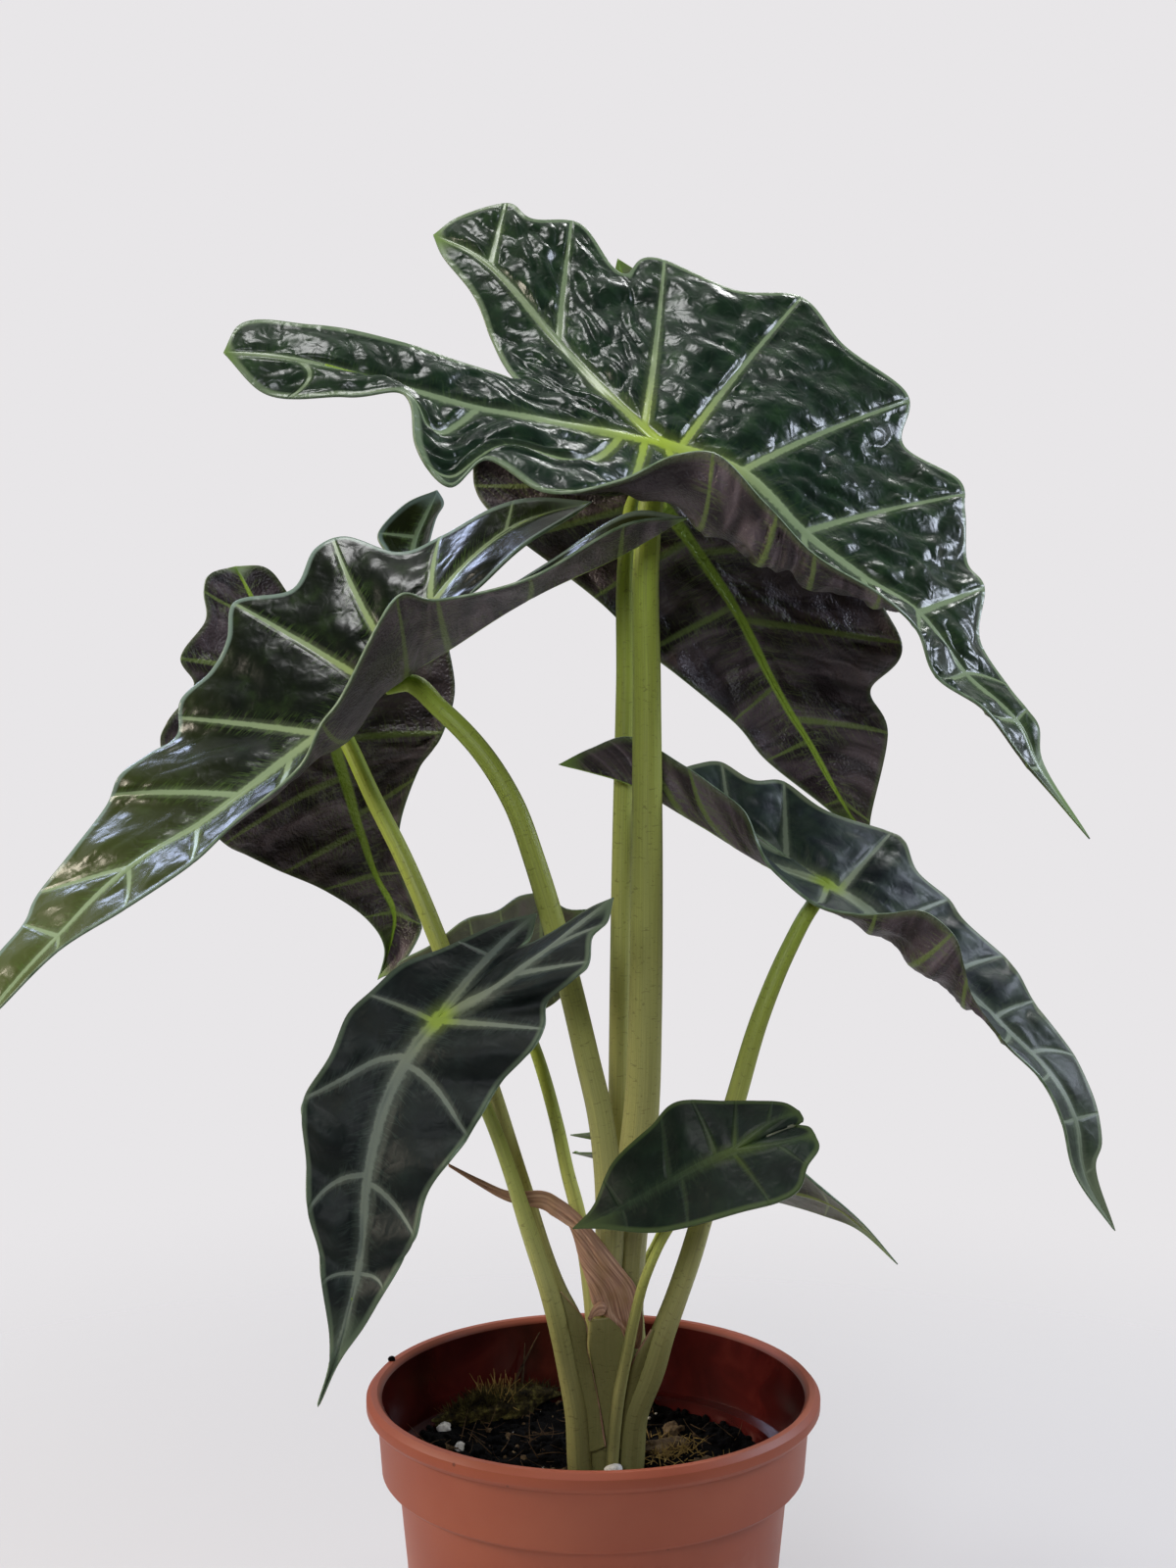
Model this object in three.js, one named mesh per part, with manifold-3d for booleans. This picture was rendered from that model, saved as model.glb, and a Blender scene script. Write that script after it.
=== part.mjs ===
// A potted alocasia: nine arrow-shaped leaves on their stalks, a dried leaf sheath, the corm with its roots,
// the potting mix with what lies on it, and a plastic nursery pot. Millimetres, +Z up, and the origin is the
// middle of the pot's underside.
import * as THREE from "three";
import { mergeVertices } from "three/addons/utils/BufferGeometryUtils.js";
import Module from "manifold-3d";

const wasm = await Module();
wasm.setup();

const gap = 0.3; // between pieces that touch

const potSize = {
  height: 107.5,
  lipRadius: 60,
  lipHeight: 5,
  bandRadius: 57.2,
  bandBottom: 85.7,
  bandFoot: 56,
  bodyRadius: 51.8,
  baseRadius: 44,
  wall: 1.3,
  floor: 2,
  corner: 3,
  segments: 36,
  holes: [
    { count: 8, ring: 33, radius: 3.6 },
    { count: 5, ring: 17, radius: 3 },
  ],
};

const soilSize = {
  height: 84.6, // at the pot's axis
  slope: 0.045, // the mix lies higher on the left
  rough: 0.9,
  rings: 7,
  segments: 24,
};

const cormSize = { x: 3.4, y: 0, top: 70, height: 27, radius: 12.5, roots: 7 };

const leafSize = {
  blade: 0.72, // thickness between the veins
  rib: 1.5, // how far the ribs stand below the blade at the stalk
  vein: 0.45, // how far the side veins stand below it
  puff: 1.5, // how far the blade bulges up between two veins
  puffSpan: 26, // width of blade that bulges fully
  rows: 3, // rows of faces between two rib points
};

const sheathSize = { thick: 0.65, curl: 2.2, columns: 4, steps: 2 };

// The layout was measured on a front drawing. These say where it is seen from.
const view = {
  eye: new THREE.Vector3(-1.4, -583.6, 323),
  dip: THREE.MathUtils.degToRad(5.4), // how far the line of sight looks down
  sheet: 577.75, // distance from the eye to the drawing
  level: 257, // height on the drawing that the line of sight meets
};

// Each leaf, as measured: places are [across, up, back], the first two on the drawing and the third behind
// the pot's axis. The ribs start at the stalk. Edge, fold and vein places begin with their number along the
// ribs, counted down the midrib from 0 at the stalk and up the lobe's rib, so that -3 is the midrib's third
// point. A fold gives points halfway across a blade that is rolled, and a vein runs from a number on the rib
// to one on the edge. Left is the leaf's own left, seen from above with its tip ahead.
const leaves = {
  crown_leaf: {
    midrib: [
      [18, 344, -3], [39, 336.5, -6], [55, 321, -10], [70, 309.5, -13], [84, 300.5, -16],
      [96, 285, -20], [109, 273, -24], [115, 261, -27], [128, 243, -32],
    ],
    notch: [-18, 359.5, 10],
    left: {
      lobe: [[3.5, 357.5, 12], [-9, 371, 24], [-25, 389, 36], [-39.5, 397, 44]],
      outer: [
        [-7, 115.5, 264, -24], [-6.5, 115, 271.5, -22], [-6, 112, 276, -20], [-5.4, 107, 282, -14],
        [-4.8, 100, 293, -6], [-4, 101, 307, 6], [-3.2, 96.5, 314, 14], [-2.5, 96, 327, 22],
        [-2.1, 94.5, 334.5, 28], [-1.7, 81, 342.5, 30], [-1.1, 80.5, 357.5, 40],
        [-0.7, 65, 369, 40], [-0.35, 54.5, 381, 47], [0, 37, 383, 42], [0.3, 19.5, 390.5, 50],
        [0.9, 9, 387, 44], [1.7, -2.5, 400, 52], [2.3, -14, 401, 46], [3, -21, 405, 50],
        [3.6, -34, 401, 48],
      ],
      inner: [[1, -21.5, 364, 18], [2, -25, 371, 26], [3, -30.5, 383.5, 33], [3.5, -37, 391.5, 38]],
      veins: [
        [-7, -7], [-6, -6], [-5, -5.4], [-4, -4], [-2, -2.3], [-1, -1.2], [-0.25, -0.35],
        [0.25, 0.3], [1.9, 1.8], [3, 3],
      ],
    },
    right: {
      lobe: [[-6, 348.5, -10], [-28, 352.5, -14], [-50, 358.5, -18], [-74, 365, -21], [-93, 367, -22]],
      outer: [
        [-7, 112, 262.5, -33], [-6, 101.5, 276, -36], [-5, 89, 284.5, -36], [-4, 84, 296.5, -38],
        [-3, 74.5, 305.5, -42], [-2, 58, 315.5, -46], [-1, 45, 329, -48], [-0.4, 32, 341.5, -48],
        [0, 22.5, 341, -46], [0.6, 8, 334.5, -44], [1.3, -12, 332, -40], [1.8, -26, 340, -34],
        [2.3, -35.5, 333, -40], [2.8, -44, 344, -36], [3.1, -45, 353.5, -30], [4, -62, 356, -27],
        [4.6, -83, 357, -26],
      ],
      fold: [
        [-7, 112.5, 261, -31], [-6, 103, 274, -31], [-5, 91.5, 283.5, -29], [-4, 84, 297, -29],
        [-3, 72.5, 302, -30], [-2, 56, 307, -32], [-1, 41, 314, -32], [-0.4, 30.5, 320, -30],
        [0, 23.5, 326, -28], [0.6, 10, 330, -26], [1.3, -5, 337.5, -26], [1.8, -20, 344.5, -24],
        [2.3, -33.5, 342, -28], [2.8, -41, 349.5, -26],
      ],
      inner: [
        [1, -23, 361.5, 4], [2, -32.5, 364.5, -2], [3, -49, 370, -8], [4, -70.5, 374, -12],
        [4.7, -89.5, 373.5, -16],
      ],
      veins: [
        [-7, -7], [-6, -6], [-5, -5], [-4, -4], [-3, -3], [-2, -2], [-1, -1.2], [-0.1, -0.4],
        [0.15, 1.3], [0.4, 2.6], [2, 3.3], [4, 4.4],
      ],
    },
    stalk: [
      [7.5, 83.5, 2, 5.6], [8, 107, 0, 5.8], [9, 137, -4, 5.7], [12.5, 162, -5, 4.8],
      [14, 179.5, -5, 4.4], [14.5, 194.5, -5, 4.25], [15, 232, -5, 4], [15, 282, -5, 3.5],
      [15, 317, -6, 3.2], [16.5, 333, -6, 3], [18, 344, -3, 2.8],
    ],
  },
  back_leaf: {
    midrib: [
      [17, 331, 32], [28, 316, 40], [39, 299, 45], [47.5, 282, 49], [56, 268, 52], [64.5, 253, 55],
      [73, 240.5, 58],
    ],
    notch: [1.5, 348, 44],
    left: {
      lobe: [[0, 343, 42], [-20.5, 360.5, 50]],
      outer: [
        [-5, 60, 251.5, 52], [-4, 45.5, 263, 48], [-3, 37, 273, 44], [-2.2, 22.5, 285, 38],
        [-1.6, 15, 291, 40], [-1, 4, 302.5, 34], [-0.4, -10.5, 314, 38], [0.2, -21, 322.5, 34],
        [0.8, -29, 333, 42], [1.4, -27, 349.5, 44],
      ],
      inner: [[1, -10, 357.5, 50]],
      veins: [
        [-5, -5], [-4, -4], [-3, -3], [-1.8, -1.6], [-0.8, -0.9], [-0.1, 0], [0.4, 0.8], [1, 1.4],
      ],
    },
    right: {
      lobe: [[15, 351, 46], [12, 372, 56], [7.5, 391, 62]],
      outer: [
        [-5, 72, 247.5, 54], [-4, 76.5, 270, 50], [-3, 72, 281, 54], [-2, 80, 293, 46],
        [-1.4, 73, 307, 54], [-0.8, 72, 322, 50], [0, 59.5, 339.5, 56], [1, 47.5, 359, 56],
        [2, 28, 377.5, 62],
      ],
      inner: [[1, 2.5, 359, 50], [2, 4, 374.5, 56]],
      veins: [[-5, -5], [-3.6, -4], [-2, -2], [-1, -0.8], [-0.1, 0.2], [1, 1], [2, 2]],
    },
    stalk: [
      [9, 85, 9, 3.4], [8.5, 132, 12, 3.4], [8, 169.5, 12, 2.9], [8.5, 232, 13, 2.6],
      [9.5, 282, 14, 2.4], [10, 317, 16, 2.2], [11.5, 328, 20, 2.1], [14, 332, 26, 2],
      [17, 331, 32, 1.9],
    ],
  },
  left_leaf: {
    midrib: [
      [-47, 284, -8], [-58, 276.5, -12], [-69.5, 268.5, -17], [-86, 256, -24], [-99.5, 246, -30],
      [-117, 235.5, -37], [-135, 218, -45], [-150, 201.5, -52], [-159.5, 190.5, -57],
    ],
    notch: [-34.5, 301, -4],
    left: {
      lobe: [[-35.5, 291, -12], [-15, 304, -16], [8, 315, -19], [25.5, 325, -21]],
      outer: [
        [-7, -150.5, 199.5, -58], [-6, -135.5, 214.5, -55], [-5, -118, 225.5, -52],
        [-4, -101, 237, -48], [-3, -90.5, 247, -44], [-2, -73.5, 261.5, -44],
        [-1.2, -68, 272.5, -46], [-0.6, -62, 281, -48], [-0.2, -54, 297, -52],
        [0.2, -49, 304.5, -50], [1, -38.5, 304, -44], [2, -15, 309.5, -40], [3, 9, 323, -36],
      ],
      fold: [
        [-6, -135, 215.5, -50], [-5, -117, 229.5, -45], [-4, -100, 240.5, -40],
        [-3, -87.5, 249, -34], [-2, -71, 261, -30], [-1.2, -63.5, 266, -28], [-0.6, -55, 276, -28],
        [-0.2, -50, 284, -30], [0.2, -45.5, 290, -30], [1, -37, 297, -32], [2, -14.5, 307, -31],
        [3, 8.5, 319.5, -30],
      ],
      inner: [[1, -25, 304.5, -6], [2, -10, 313.5, -8], [3, 10, 326, -14]],
      veins: [
        [-7, -7], [-6, -6], [-5, -5], [-4, -4], [-2.4, -2.6], [-0.9, -1.2], [0, 0.2], [1, 1],
        [2, 2], [3, 3],
      ],
    },
    right: {
      lobe: [[-40, 302, 0], [-21, 321, 6], [1, 329, 8]],
      outer: [
        [-7, -153.5, 209, -44], [-6, -144, 221, -34], [-5, -139, 230.5, -26],
        [-4.5, -131, 240.5, -24], [-4, -123, 251, -14], [-3.4, -119.5, 259, -14],
        [-2.8, -112, 264.5, -8], [-2.2, -104.5, 270, -2], [-1.8, -104, 278, 0],
        [-1.3, -96, 286, 4], [-0.9, -92, 294, 6], [-0.6, -90.5, 303, 12], [-0.2, -75.5, 306.5, 12],
        [0.2, -69.5, 317, 18], [0.5, -62.5, 320, 20], [0.9, -49, 316, 16], [1.4, -37.5, 320, 18],
        [1.9, -25, 327, 12], [2.5, -13, 330, 10],
      ],
      inner: [[1, -27, 308, -8], [2, -14, 319.5, -6], [2.5, -4, 325.5, 0]],
      veins: [
        [-7, -7], [-6, -6], [-5, -5.1], [-3.2, -3.8], [-1.9, -2], [-0.5, -0.6], [0, 0.4], [1, 1.4],
        [2, 2.2],
      ],
    },
    stalk: [
      [3, 83, -5, 3.6], [3, 107, -8, 3.6], [4.5, 127, -11, 3.6], [5.5, 142.5, -13, 3.6],
      [5, 157, -14, 3.4], [3, 173, -15, 3.2], [0, 186, -16, 3.1], [-4.5, 205, -17, 3],
      [-9, 222, -18, 2.9], [-13.5, 237, -18, 2.7], [-19, 252, -17, 2.6], [-27, 265, -15, 2.5],
      [-37.5, 276, -12, 2.4], [-47, 284, -8, 2.2],
    ],
  },
  left_back_leaf: {
    midrib: [
      [-65.5, 275, 24], [-64, 265, 31], [-60.5, 253, 36], [-58, 245, 39], [-54, 234, 42],
      [-49.5, 224.5, 44], [-50, 218, 45], [-53.5, 207, 46],
    ],
    notch: [-64.5, 286.5, 36],
    left: {
      lobe: [[-74, 287, 32], [-83, 299.5, 38], [-90, 312.5, 42]],
      outer: [
        [-6, -52, 215.5, 42], [-5, -57, 223, 42], [-4, -67.5, 230, 40], [-3, -80, 235.5, 38],
        [-2.4, -87, 239, 36], [-1.8, -94, 243, 30], [-1.2, -103.5, 255, 24],
        [-0.6, -109, 266.5, 22], [-0.1, -107.5, 272.5, 20], [0.4, -100.5, 282, 26],
        [0.9, -104, 289, 24], [1.5, -97.5, 299, 30], [2, -98, 306, 32], [2.5, -96.5, 310.5, 34],
      ],
      inner: [[1, -70.5, 291, 38], [2, -77, 306, 44], [2.6, -83, 312.5, 42]],
      veins: [[-5, -5], [-4, -4], [-3, -3.2], [-1.5, -1.9], [-0.3, -0.6], [0.8, 0.9], [1.8, 2]],
    },
    right: {
      lobe: [[-53, 289, 38], [-47, 307, 46], [-44, 320, 50], [-38.5, 332, 52]],
      outer: [
        [-6, -47.5, 211, 40], [-5.4, -43.5, 217.5, 38], [-4.6, -43, 223, 42],
        [-4, -47.5, 234.5, 36], [-3, -48, 246.5, 34], [-2, -43, 261, 32], [-1, -37, 270, 30],
        [-0.4, -34, 280, 36], [0.2, -35.5, 291.5, 40], [1, -38.5, 302, 44], [1.8, -45, 312, 40],
        [2.6, -52, 317, 44], [3, -53.5, 321, 46], [3.5, -46.5, 328.5, 48],
      ],
      inner: [[1, -57, 290, 46], [2, -45, 305.5, 56], [3, -39, 324.5, 58], [3.7, -37, 329.5, 56]],
      veins: [[-5, -4.8], [-4, -4], [-2.5, -2.2], [-0.7, -1], [0.4, 0.2], [1.5, 1.8], [3, 3]],
    },
    stalk: [
      [1.5, 85, 5, 3.1], [0, 97, 6, 3.1], [-2, 107, 7, 3.2], [-4.5, 119.5, 8, 3.4],
      [-8, 127.5, 8, 2.9], [-17.5, 155.5, 6, 2.7], [-24.5, 178, 2, 2.5], [-37, 214, 0, 2.4],
      [-47, 238, 6, 2.3], [-55, 254, 12, 2.2], [-61.5, 268, 18, 2.1], [-65.5, 275, 24, 2],
    ],
  },
  right_leaf: {
    midrib: [
      [61, 231, 0], [71, 224.5, -4], [84, 214, -8], [97, 203, -12], [107.5, 193, -15],
      [117.5, 183, -18], [124, 171.5, -20], [126.5, 157.5, -21], [134.5, 143, -22],
    ],
    notch: [50.5, 238.5, 4],
    left: {
      lobe: [[49.5, 238, 12], [36, 249, 20], [24, 261, 24]],
      outer: [
        [-7, 129.5, 159.5, -20], [-6.4, 131, 166, -17], [-6, 130, 173, -14],
        [-5.4, 127, 181.5, -10], [-5, 124, 187.5, -6], [-4.4, 117, 197, -6], [-4, 113.5, 201.5, 0],
        [-3.5, 109.5, 209, -2], [-3, 106, 213, 6], [-2.5, 96.5, 221.5, 4], [-2, 92, 227.5, 12],
        [-1.5, 84, 234.5, 10], [-1, 81, 242, 16], [-0.4, 76, 245, 22], [0.2, 61, 250, 18],
        [0.8, 50, 257.5, 28], [1.4, 42, 258, 24], [2, 34, 262.5, 28], [2.6, 27.5, 262, 26],
      ],
      inner: [[1, 46.5, 241.5, 8], [2, 32, 252.5, 12], [2.5, 26.5, 259, 18]],
      veins: [
        [-7, -7], [-6, -6], [-4.5, -5], [-3.6, -4], [-2.6, -3], [-1.5, -2], [-0.3, -0.5],
        [0.9, 0.8], [2, 2],
      ],
    },
    right: {
      lobe: [[44, 237, 2], [26.5, 247.5, 4], [10, 256.5, 6.5], [-7.5, 262, 8]],
      outer: [
        [-7, 124.5, 157, -25], [-6, 121, 171, -27], [-5, 115.5, 182, -28], [-4, 105, 193, -30],
        [-3.4, 97.5, 204, -32], [-3, 96, 210.5, -33], [-2.4, 93, 219, -33], [-2, 87, 224, -32],
        [-1.3, 76, 224, -28], [-0.6, 67.5, 224, -24], [0, 57, 227, -18], [0.5, 46.5, 236, -12],
        [1, 43.5, 241.5, -7], [1.5, 40, 250, -5], [2, 32, 256.5, -4], [2.5, 24, 262, -1],
        [3, 11, 269, 3], [3.5, 0.5, 266, 5],
      ],
      fold: [
        [-5, 116, 181.5, -24], [-4, 106, 191, -26], [-3.4, 98.5, 198, -27], [-3, 95, 201, -27],
        [-2.4, 86.5, 207, -26], [-2, 81.5, 212.5, -24], [-1.3, 74, 217.5, -20],
        [-0.6, 67, 221.5, -16], [0, 59, 226.5, -12], [0.5, 51.5, 231.5, -8], [1, 44, 238, -4],
        [1.5, 37, 244, -2],
      ],
      inner: [[1, 45.5, 241.5, 6], [2, 28, 252.5, 10], [3, 10.5, 263, 9], [3.5, 1, 261.5, 9]],
      veins: [
        [-6, -6], [-5, -5], [-4, -4], [-3, -3.2], [-1.9, -2.4], [-1, -1.1], [0, 0], [1.3, 2.4],
        [2, 3],
      ],
    },
    stalk: [
      [10.5, 83, -4, 3.8], [12, 97, -6, 3.6], [16, 107, -7, 3.5], [19, 116.5, -8, 3.15],
      [22, 124.5, -8, 2.9], [26, 136, -8, 2.85], [29, 146, -8, 2.75], [37.5, 176, -7, 2.6],
      [44.5, 199, -6, 2.3], [51, 214.5, -4, 2.1], [57, 225.5, -2, 1.95], [61, 231, 0, 1.9],
    ],
  },
  front_leaf: {
    midrib: [
      [-38, 197, -44], [-46, 186.5, -49], [-52, 174, -54], [-56, 157, -58], [-57.5, 139, -60],
      [-60, 126, -61], [-63.5, 113.5, -61], [-69, 98, -60],
    ],
    notch: [-17, 215.5, -30],
    left: {
      lobe: [[-24.5, 204.5, -45], [-10, 215, -44], [6.5, 228, -41]],
      outer: [
        [-6, -63, 110.5, -62], [-5.4, -56.5, 119.5, -63], [-5, -52, 127.5, -66],
        [-4.5, -47, 136, -64], [-4, -44, 141.5, -68], [-3.5, -41.5, 151.5, -64],
        [-3, -36, 160, -66], [-2.4, -30.5, 167, -60], [-2, -27.5, 172, -60], [-1.4, -22, 181, -54],
        [-0.8, -14, 189.5, -56], [-0.3, -11, 195.5, -52], [0.2, -10.5, 201, -48],
        [0.9, -2.5, 208, -52], [1.6, 0.5, 212.5, -50], [2, 1, 218, -46], [2.5, 5, 222, -44],
      ],
      inner: [[1, -13, 217, -32], [2, -6, 221, -34], [2.5, 1, 225.5, -36]],
      veins: [[-6, -6], [-4.5, -5], [-3.1, -4], [-1.1, -2.4], [-0.05, -0.4], [1.4, 1.5], [2, 2.4]],
    },
    right: {
      lobe: [[-25, 213, -30], [-13, 224, -16]],
      outer: [
        [-6, -66, 109.5, -62], [-5.5, -66, 117, -60], [-5, -68, 129.5, -62],
        [-4.4, -69, 139.5, -58], [-4, -71.5, 148, -60], [-3.4, -72, 163, -54],
        [-3, -73, 171.5, -56], [-2.4, -72, 178, -50], [-1.8, -66, 187.5, -50],
        [-1.2, -61.5, 198, -42], [-0.6, -55, 204.5, -42], [0, -47.5, 211, -36],
        [0.6, -37, 215, -28], [1.4, -21, 222, -18],
      ],
      inner: [[1.4, -14, 219.5, -22]],
      veins: [[-6, -6], [-4.5, -5], [-3, -4], [-0.95, -2.5], [-0.1, -0.7], [1, 0.8]],
    },
    stalk: [
      [-2, 82.5, -8, 3.2], [-3, 97, -11, 3], [-5, 107, -13, 2.7], [-9.5, 126, -21, 2.4],
      [-15.5, 144.5, -25, 2.1], [-19.5, 157, -28, 1.8], [-23, 167, -31, 1.7],
      [-27, 176.5, -35, 1.6], [-32.5, 187.5, -39, 1.6], [-38, 197, -44, 1.6],
    ],
    matte: true,
  },
  front_small_leaf: {
    midrib: [
      [37.5, 163.5, -46], [29.5, 160, -46], [21, 155.5, -45], [12, 150.5, -43], [4, 146.5, -41],
      [-4, 143.5, -38],
    ],
    notch: [53, 170, -41],
    left: {
      lobe: [[48, 165, -47], [58, 167.5, -45]],
      outer: [
        [-4, 3, 143.5, -42], [-3, 15.5, 142.5, -48], [-2, 25.5, 144, -53], [-1, 39.5, 148, -56],
        [-0.3, 49, 150.5, -56], [0.5, 54.5, 154.5, -54], [1, 56, 159.5, -52], [1.5, 59, 164, -48],
      ],
      inner: [[1.4, 57, 169, -43]],
      veins: [[-3.4, -3.4], [-1.7, -2], [-0.1, -0.5], [1, 1]],
    },
    right: {
      lobe: [[46, 170, -42], [54, 173.5, -38]],
      outer: [
        [-4, 1.5, 149.5, -36], [-3, 6.5, 160.5, -32], [-2, 16, 169.5, -30], [-1, 23.5, 176, -30],
        [-0.3, 34.5, 176, -31], [0.6, 43, 176, -33], [1.4, 50.5, 175.5, -36],
      ],
      inner: [[1.3, 55, 171.5, -40]],
      veins: [[-3.4, -3.4], [-2, -1.6], [-0.6, -0.8], [0, 0], [1, 1]],
    },
    stalk: [
      [6, 82, -9, 1.7], [8, 102, -13, 1.6], [10, 112, -16, 1.5], [12, 121.5, -21, 1.35],
      [15, 132, -30, 1.2], [20, 142.5, -36, 1.1], [29, 154, -42, 1.1], [37.5, 163.5, -46, 1.1],
    ],
    size: 0.5,
    matte: true,
  },
  back_small_leaf: {
    midrib: [
      [25, 159.5, 40], [38, 157, 41], [50, 153.5, 42], [61.5, 150, 43], [71, 143, 43],
      [79, 134.5, 44],
    ],
    notch: [14, 163, 40],
    left: {
      lobe: [[10, 162, 42], [-4, 163, 44]],
      outer: [
        [-4, 69.5, 143, 46], [-3, 60.5, 147, 50], [-2, 49, 150.5, 56], [-1, 36, 153.5, 60],
        [0, 22.5, 156, 60], [1, 10, 159.5, 54],
      ],
      inner: [[1, 10, 163, 41]],
      veins: [[-4, -4], [-3, -3], [-2, -2], [-1, -1], [0, 0], [1, 1]],
    },
    right: {
      lobe: [[10, 165, 38], [-4.5, 167.5, 36]],
      outer: [
        [-4, 70, 145, 40], [-3, 59.5, 154, 36], [-2, 50, 161.5, 30], [-1, 36, 167.5, 26],
        [0, 22.5, 169.5, 26], [1, 10, 169, 30],
      ],
      inner: [[1, 10, 164.5, 39]],
      veins: [[-4, -4], [-3, -3], [-2, -2], [-1, -1], [0, 0], [1, 1]],
    },
    stalk: [
      [12.5, 86, 8, 1.6], [13.5, 112, 17, 1.3], [14, 134, 28, 0.95], [17, 140, 33, 0.8],
      [21, 149, 38, 0.8], [25, 159.5, 40, 0.9],
    ],
    size: 0.6,
  },
  young_leaf: {
    midrib: [[-19.5, 205.5, 12], [-27, 206, 13], [-34.5, 207, 14], [-42, 208, 14], [-49, 210, 13]],
    notch: [-11, 211, 14],
    left: {
      lobe: [[-12, 214, 13], [-0.5, 224, 14], [6, 226.5, 15]],
      outer: [
        [-3, -47.5, 212, 10], [-2, -39, 216.5, 8], [-1.2, -32, 222, 7], [0, -22.5, 225, 7],
        [0.6, -17, 228.5, 7], [1, -12, 229, 8], [1.6, -5, 225, 10], [2, 0.5, 225, 12],
      ],
      inner: [[1, -7.5, 216.5, 15], [2, 0.5, 221, 16]],
      veins: [[-3, -3], [-2, -2], [-1, -1], [0, 0], [1, 1], [2, 2]],
    },
    right: {
      lobe: [[-10, 206.5, 15], [0, 211, 17]],
      outer: [
        [-3, -43, 206.5, 17], [-2, -35.5, 202.5, 20], [-1, -27, 199.5, 22], [0, -17.5, 198, 22],
        [1, -8.5, 201.5, 21],
      ],
      inner: [[1, -7, 211, 15]],
      veins: [[-3, -3], [-2, -2], [-1, -1], [0, 0], [1, 1]],
    },
    stalk: [
      [2, 84.5, -1, 2.3], [2, 107, 0, 2.2], [1, 124.5, 1, 2.1], [-1, 139.5, 2, 2],
      [-3, 149.5, 3, 1.9], [-5, 157, 4, 1.8], [-8, 170.5, 6, 1.7], [-13, 188, 9, 1.6],
      [-17, 198.5, 11, 1.4], [-19.5, 205.5, 12, 1.3],
    ],
    size: 0.5,
  },
};

// The dried sheath, as pairs of opposite edge places from its curled tail to its torn foot.
const sheathEdges = [
  [[-35.7, 160.2, -18.7], [-35.5, 159.5, -18.7]],
  [[-27.5, 156.2, -17.7], [-28, 154.7, -17.7]],
  [[-20.2, 153.2, -15.7], [-20.7, 150.7, -15.7]],
  [[-11.7, 153.2, -13.7], [-12, 148.7, -14.7]],
  [[-7, 151, -13.7], [-9.2, 147, -15.7]],
  [[-2, 147, -15.2], [-5.7, 144.7, -16.7]],
  [[1.7, 142.5, -16.7], [-4.2, 143, -17.1]],
  [[7.5, 135, -16.3], [-2, 135.2, -17.1]],
  [[12.2, 128.7, -13.2], [0, 129.2, -16.5]],
  [[13.7, 122, -10.5], [1.7, 123.7, -15.5]],
  [[13.7, 116.5, -9.7], [7.5, 119, -13.7]],
  [[13, 113, -10.1], [12, 113.2, -10.5]],
];

// A place on the front drawing, at its distance back.
function place([across, up, back]) {
  const rise = (up - view.level) / view.sheet;
  const run = (back - view.eye.y) / (Math.cos(view.dip) + rise * Math.sin(view.dip));
  return new THREE.Vector3(
    view.eye.x + (run * across) / view.sheet,
    back,
    view.eye.z + run * (rise * Math.cos(view.dip) - Math.sin(view.dip)),
  );
}

// A smooth curve through knots [number, point], with each knot's slope taken from the spans beside it.
function along(knots, number) {
  const last = knots.length - 1;
  const step = (k) => knots[k + 1][0] - knots[k][0];
  const pace = (k) => knots[k + 1][1].clone().sub(knots[k][1]).divideScalar(step(k));
  const slope = (k) => {
    if (k === 0) return pace(0);
    if (k === last) return pace(last - 1);
    const before = step(k - 1);
    const after = step(k);
    return pace(k - 1)
      .multiplyScalar(after)
      .add(pace(k).multiplyScalar(before))
      .divideScalar(before + after);
  };
  let k = 0;
  while (k < last - 1 && number > knots[k + 1][0]) k++;
  const span = step(k);
  const s = THREE.MathUtils.clamp((number - knots[k][0]) / span, 0, 1);
  const t = 1 - s;
  return knots[k][1]
    .clone()
    .multiplyScalar(t * t * (1 + 2 * s))
    .addScaledVector(knots[k + 1][1], s * s * (3 - 2 * s))
    .addScaledVector(slope(k), span * s * t * t)
    .addScaledVector(slope(k + 1), -span * s * s * t);
}

const numbered = (points) => points.map((p, i) => [i, place(p)]);
const measured = (edge) => edge.map(([number, ...p]) => [number, place(p)]);

// How far a place on the blade lies between the veins beside it: 0 on a vein and 1 midway.
function betweenVeins(veins, number, across) {
  const lines = veins.map(([rib, edge]) => rib + (edge - rib) * across);
  const next = lines.findIndex((line) => line > number);
  const low = next > 0 ? lines[next - 1] : next === 0 ? lines[0] - 1 : lines[lines.length - 1];
  const high = next >= 0 ? lines[next] : low + 1;
  return Math.sin(Math.PI * THREE.MathUtils.clamp((number - low) / (high - low), 0, 1)) ** 2;
}

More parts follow.
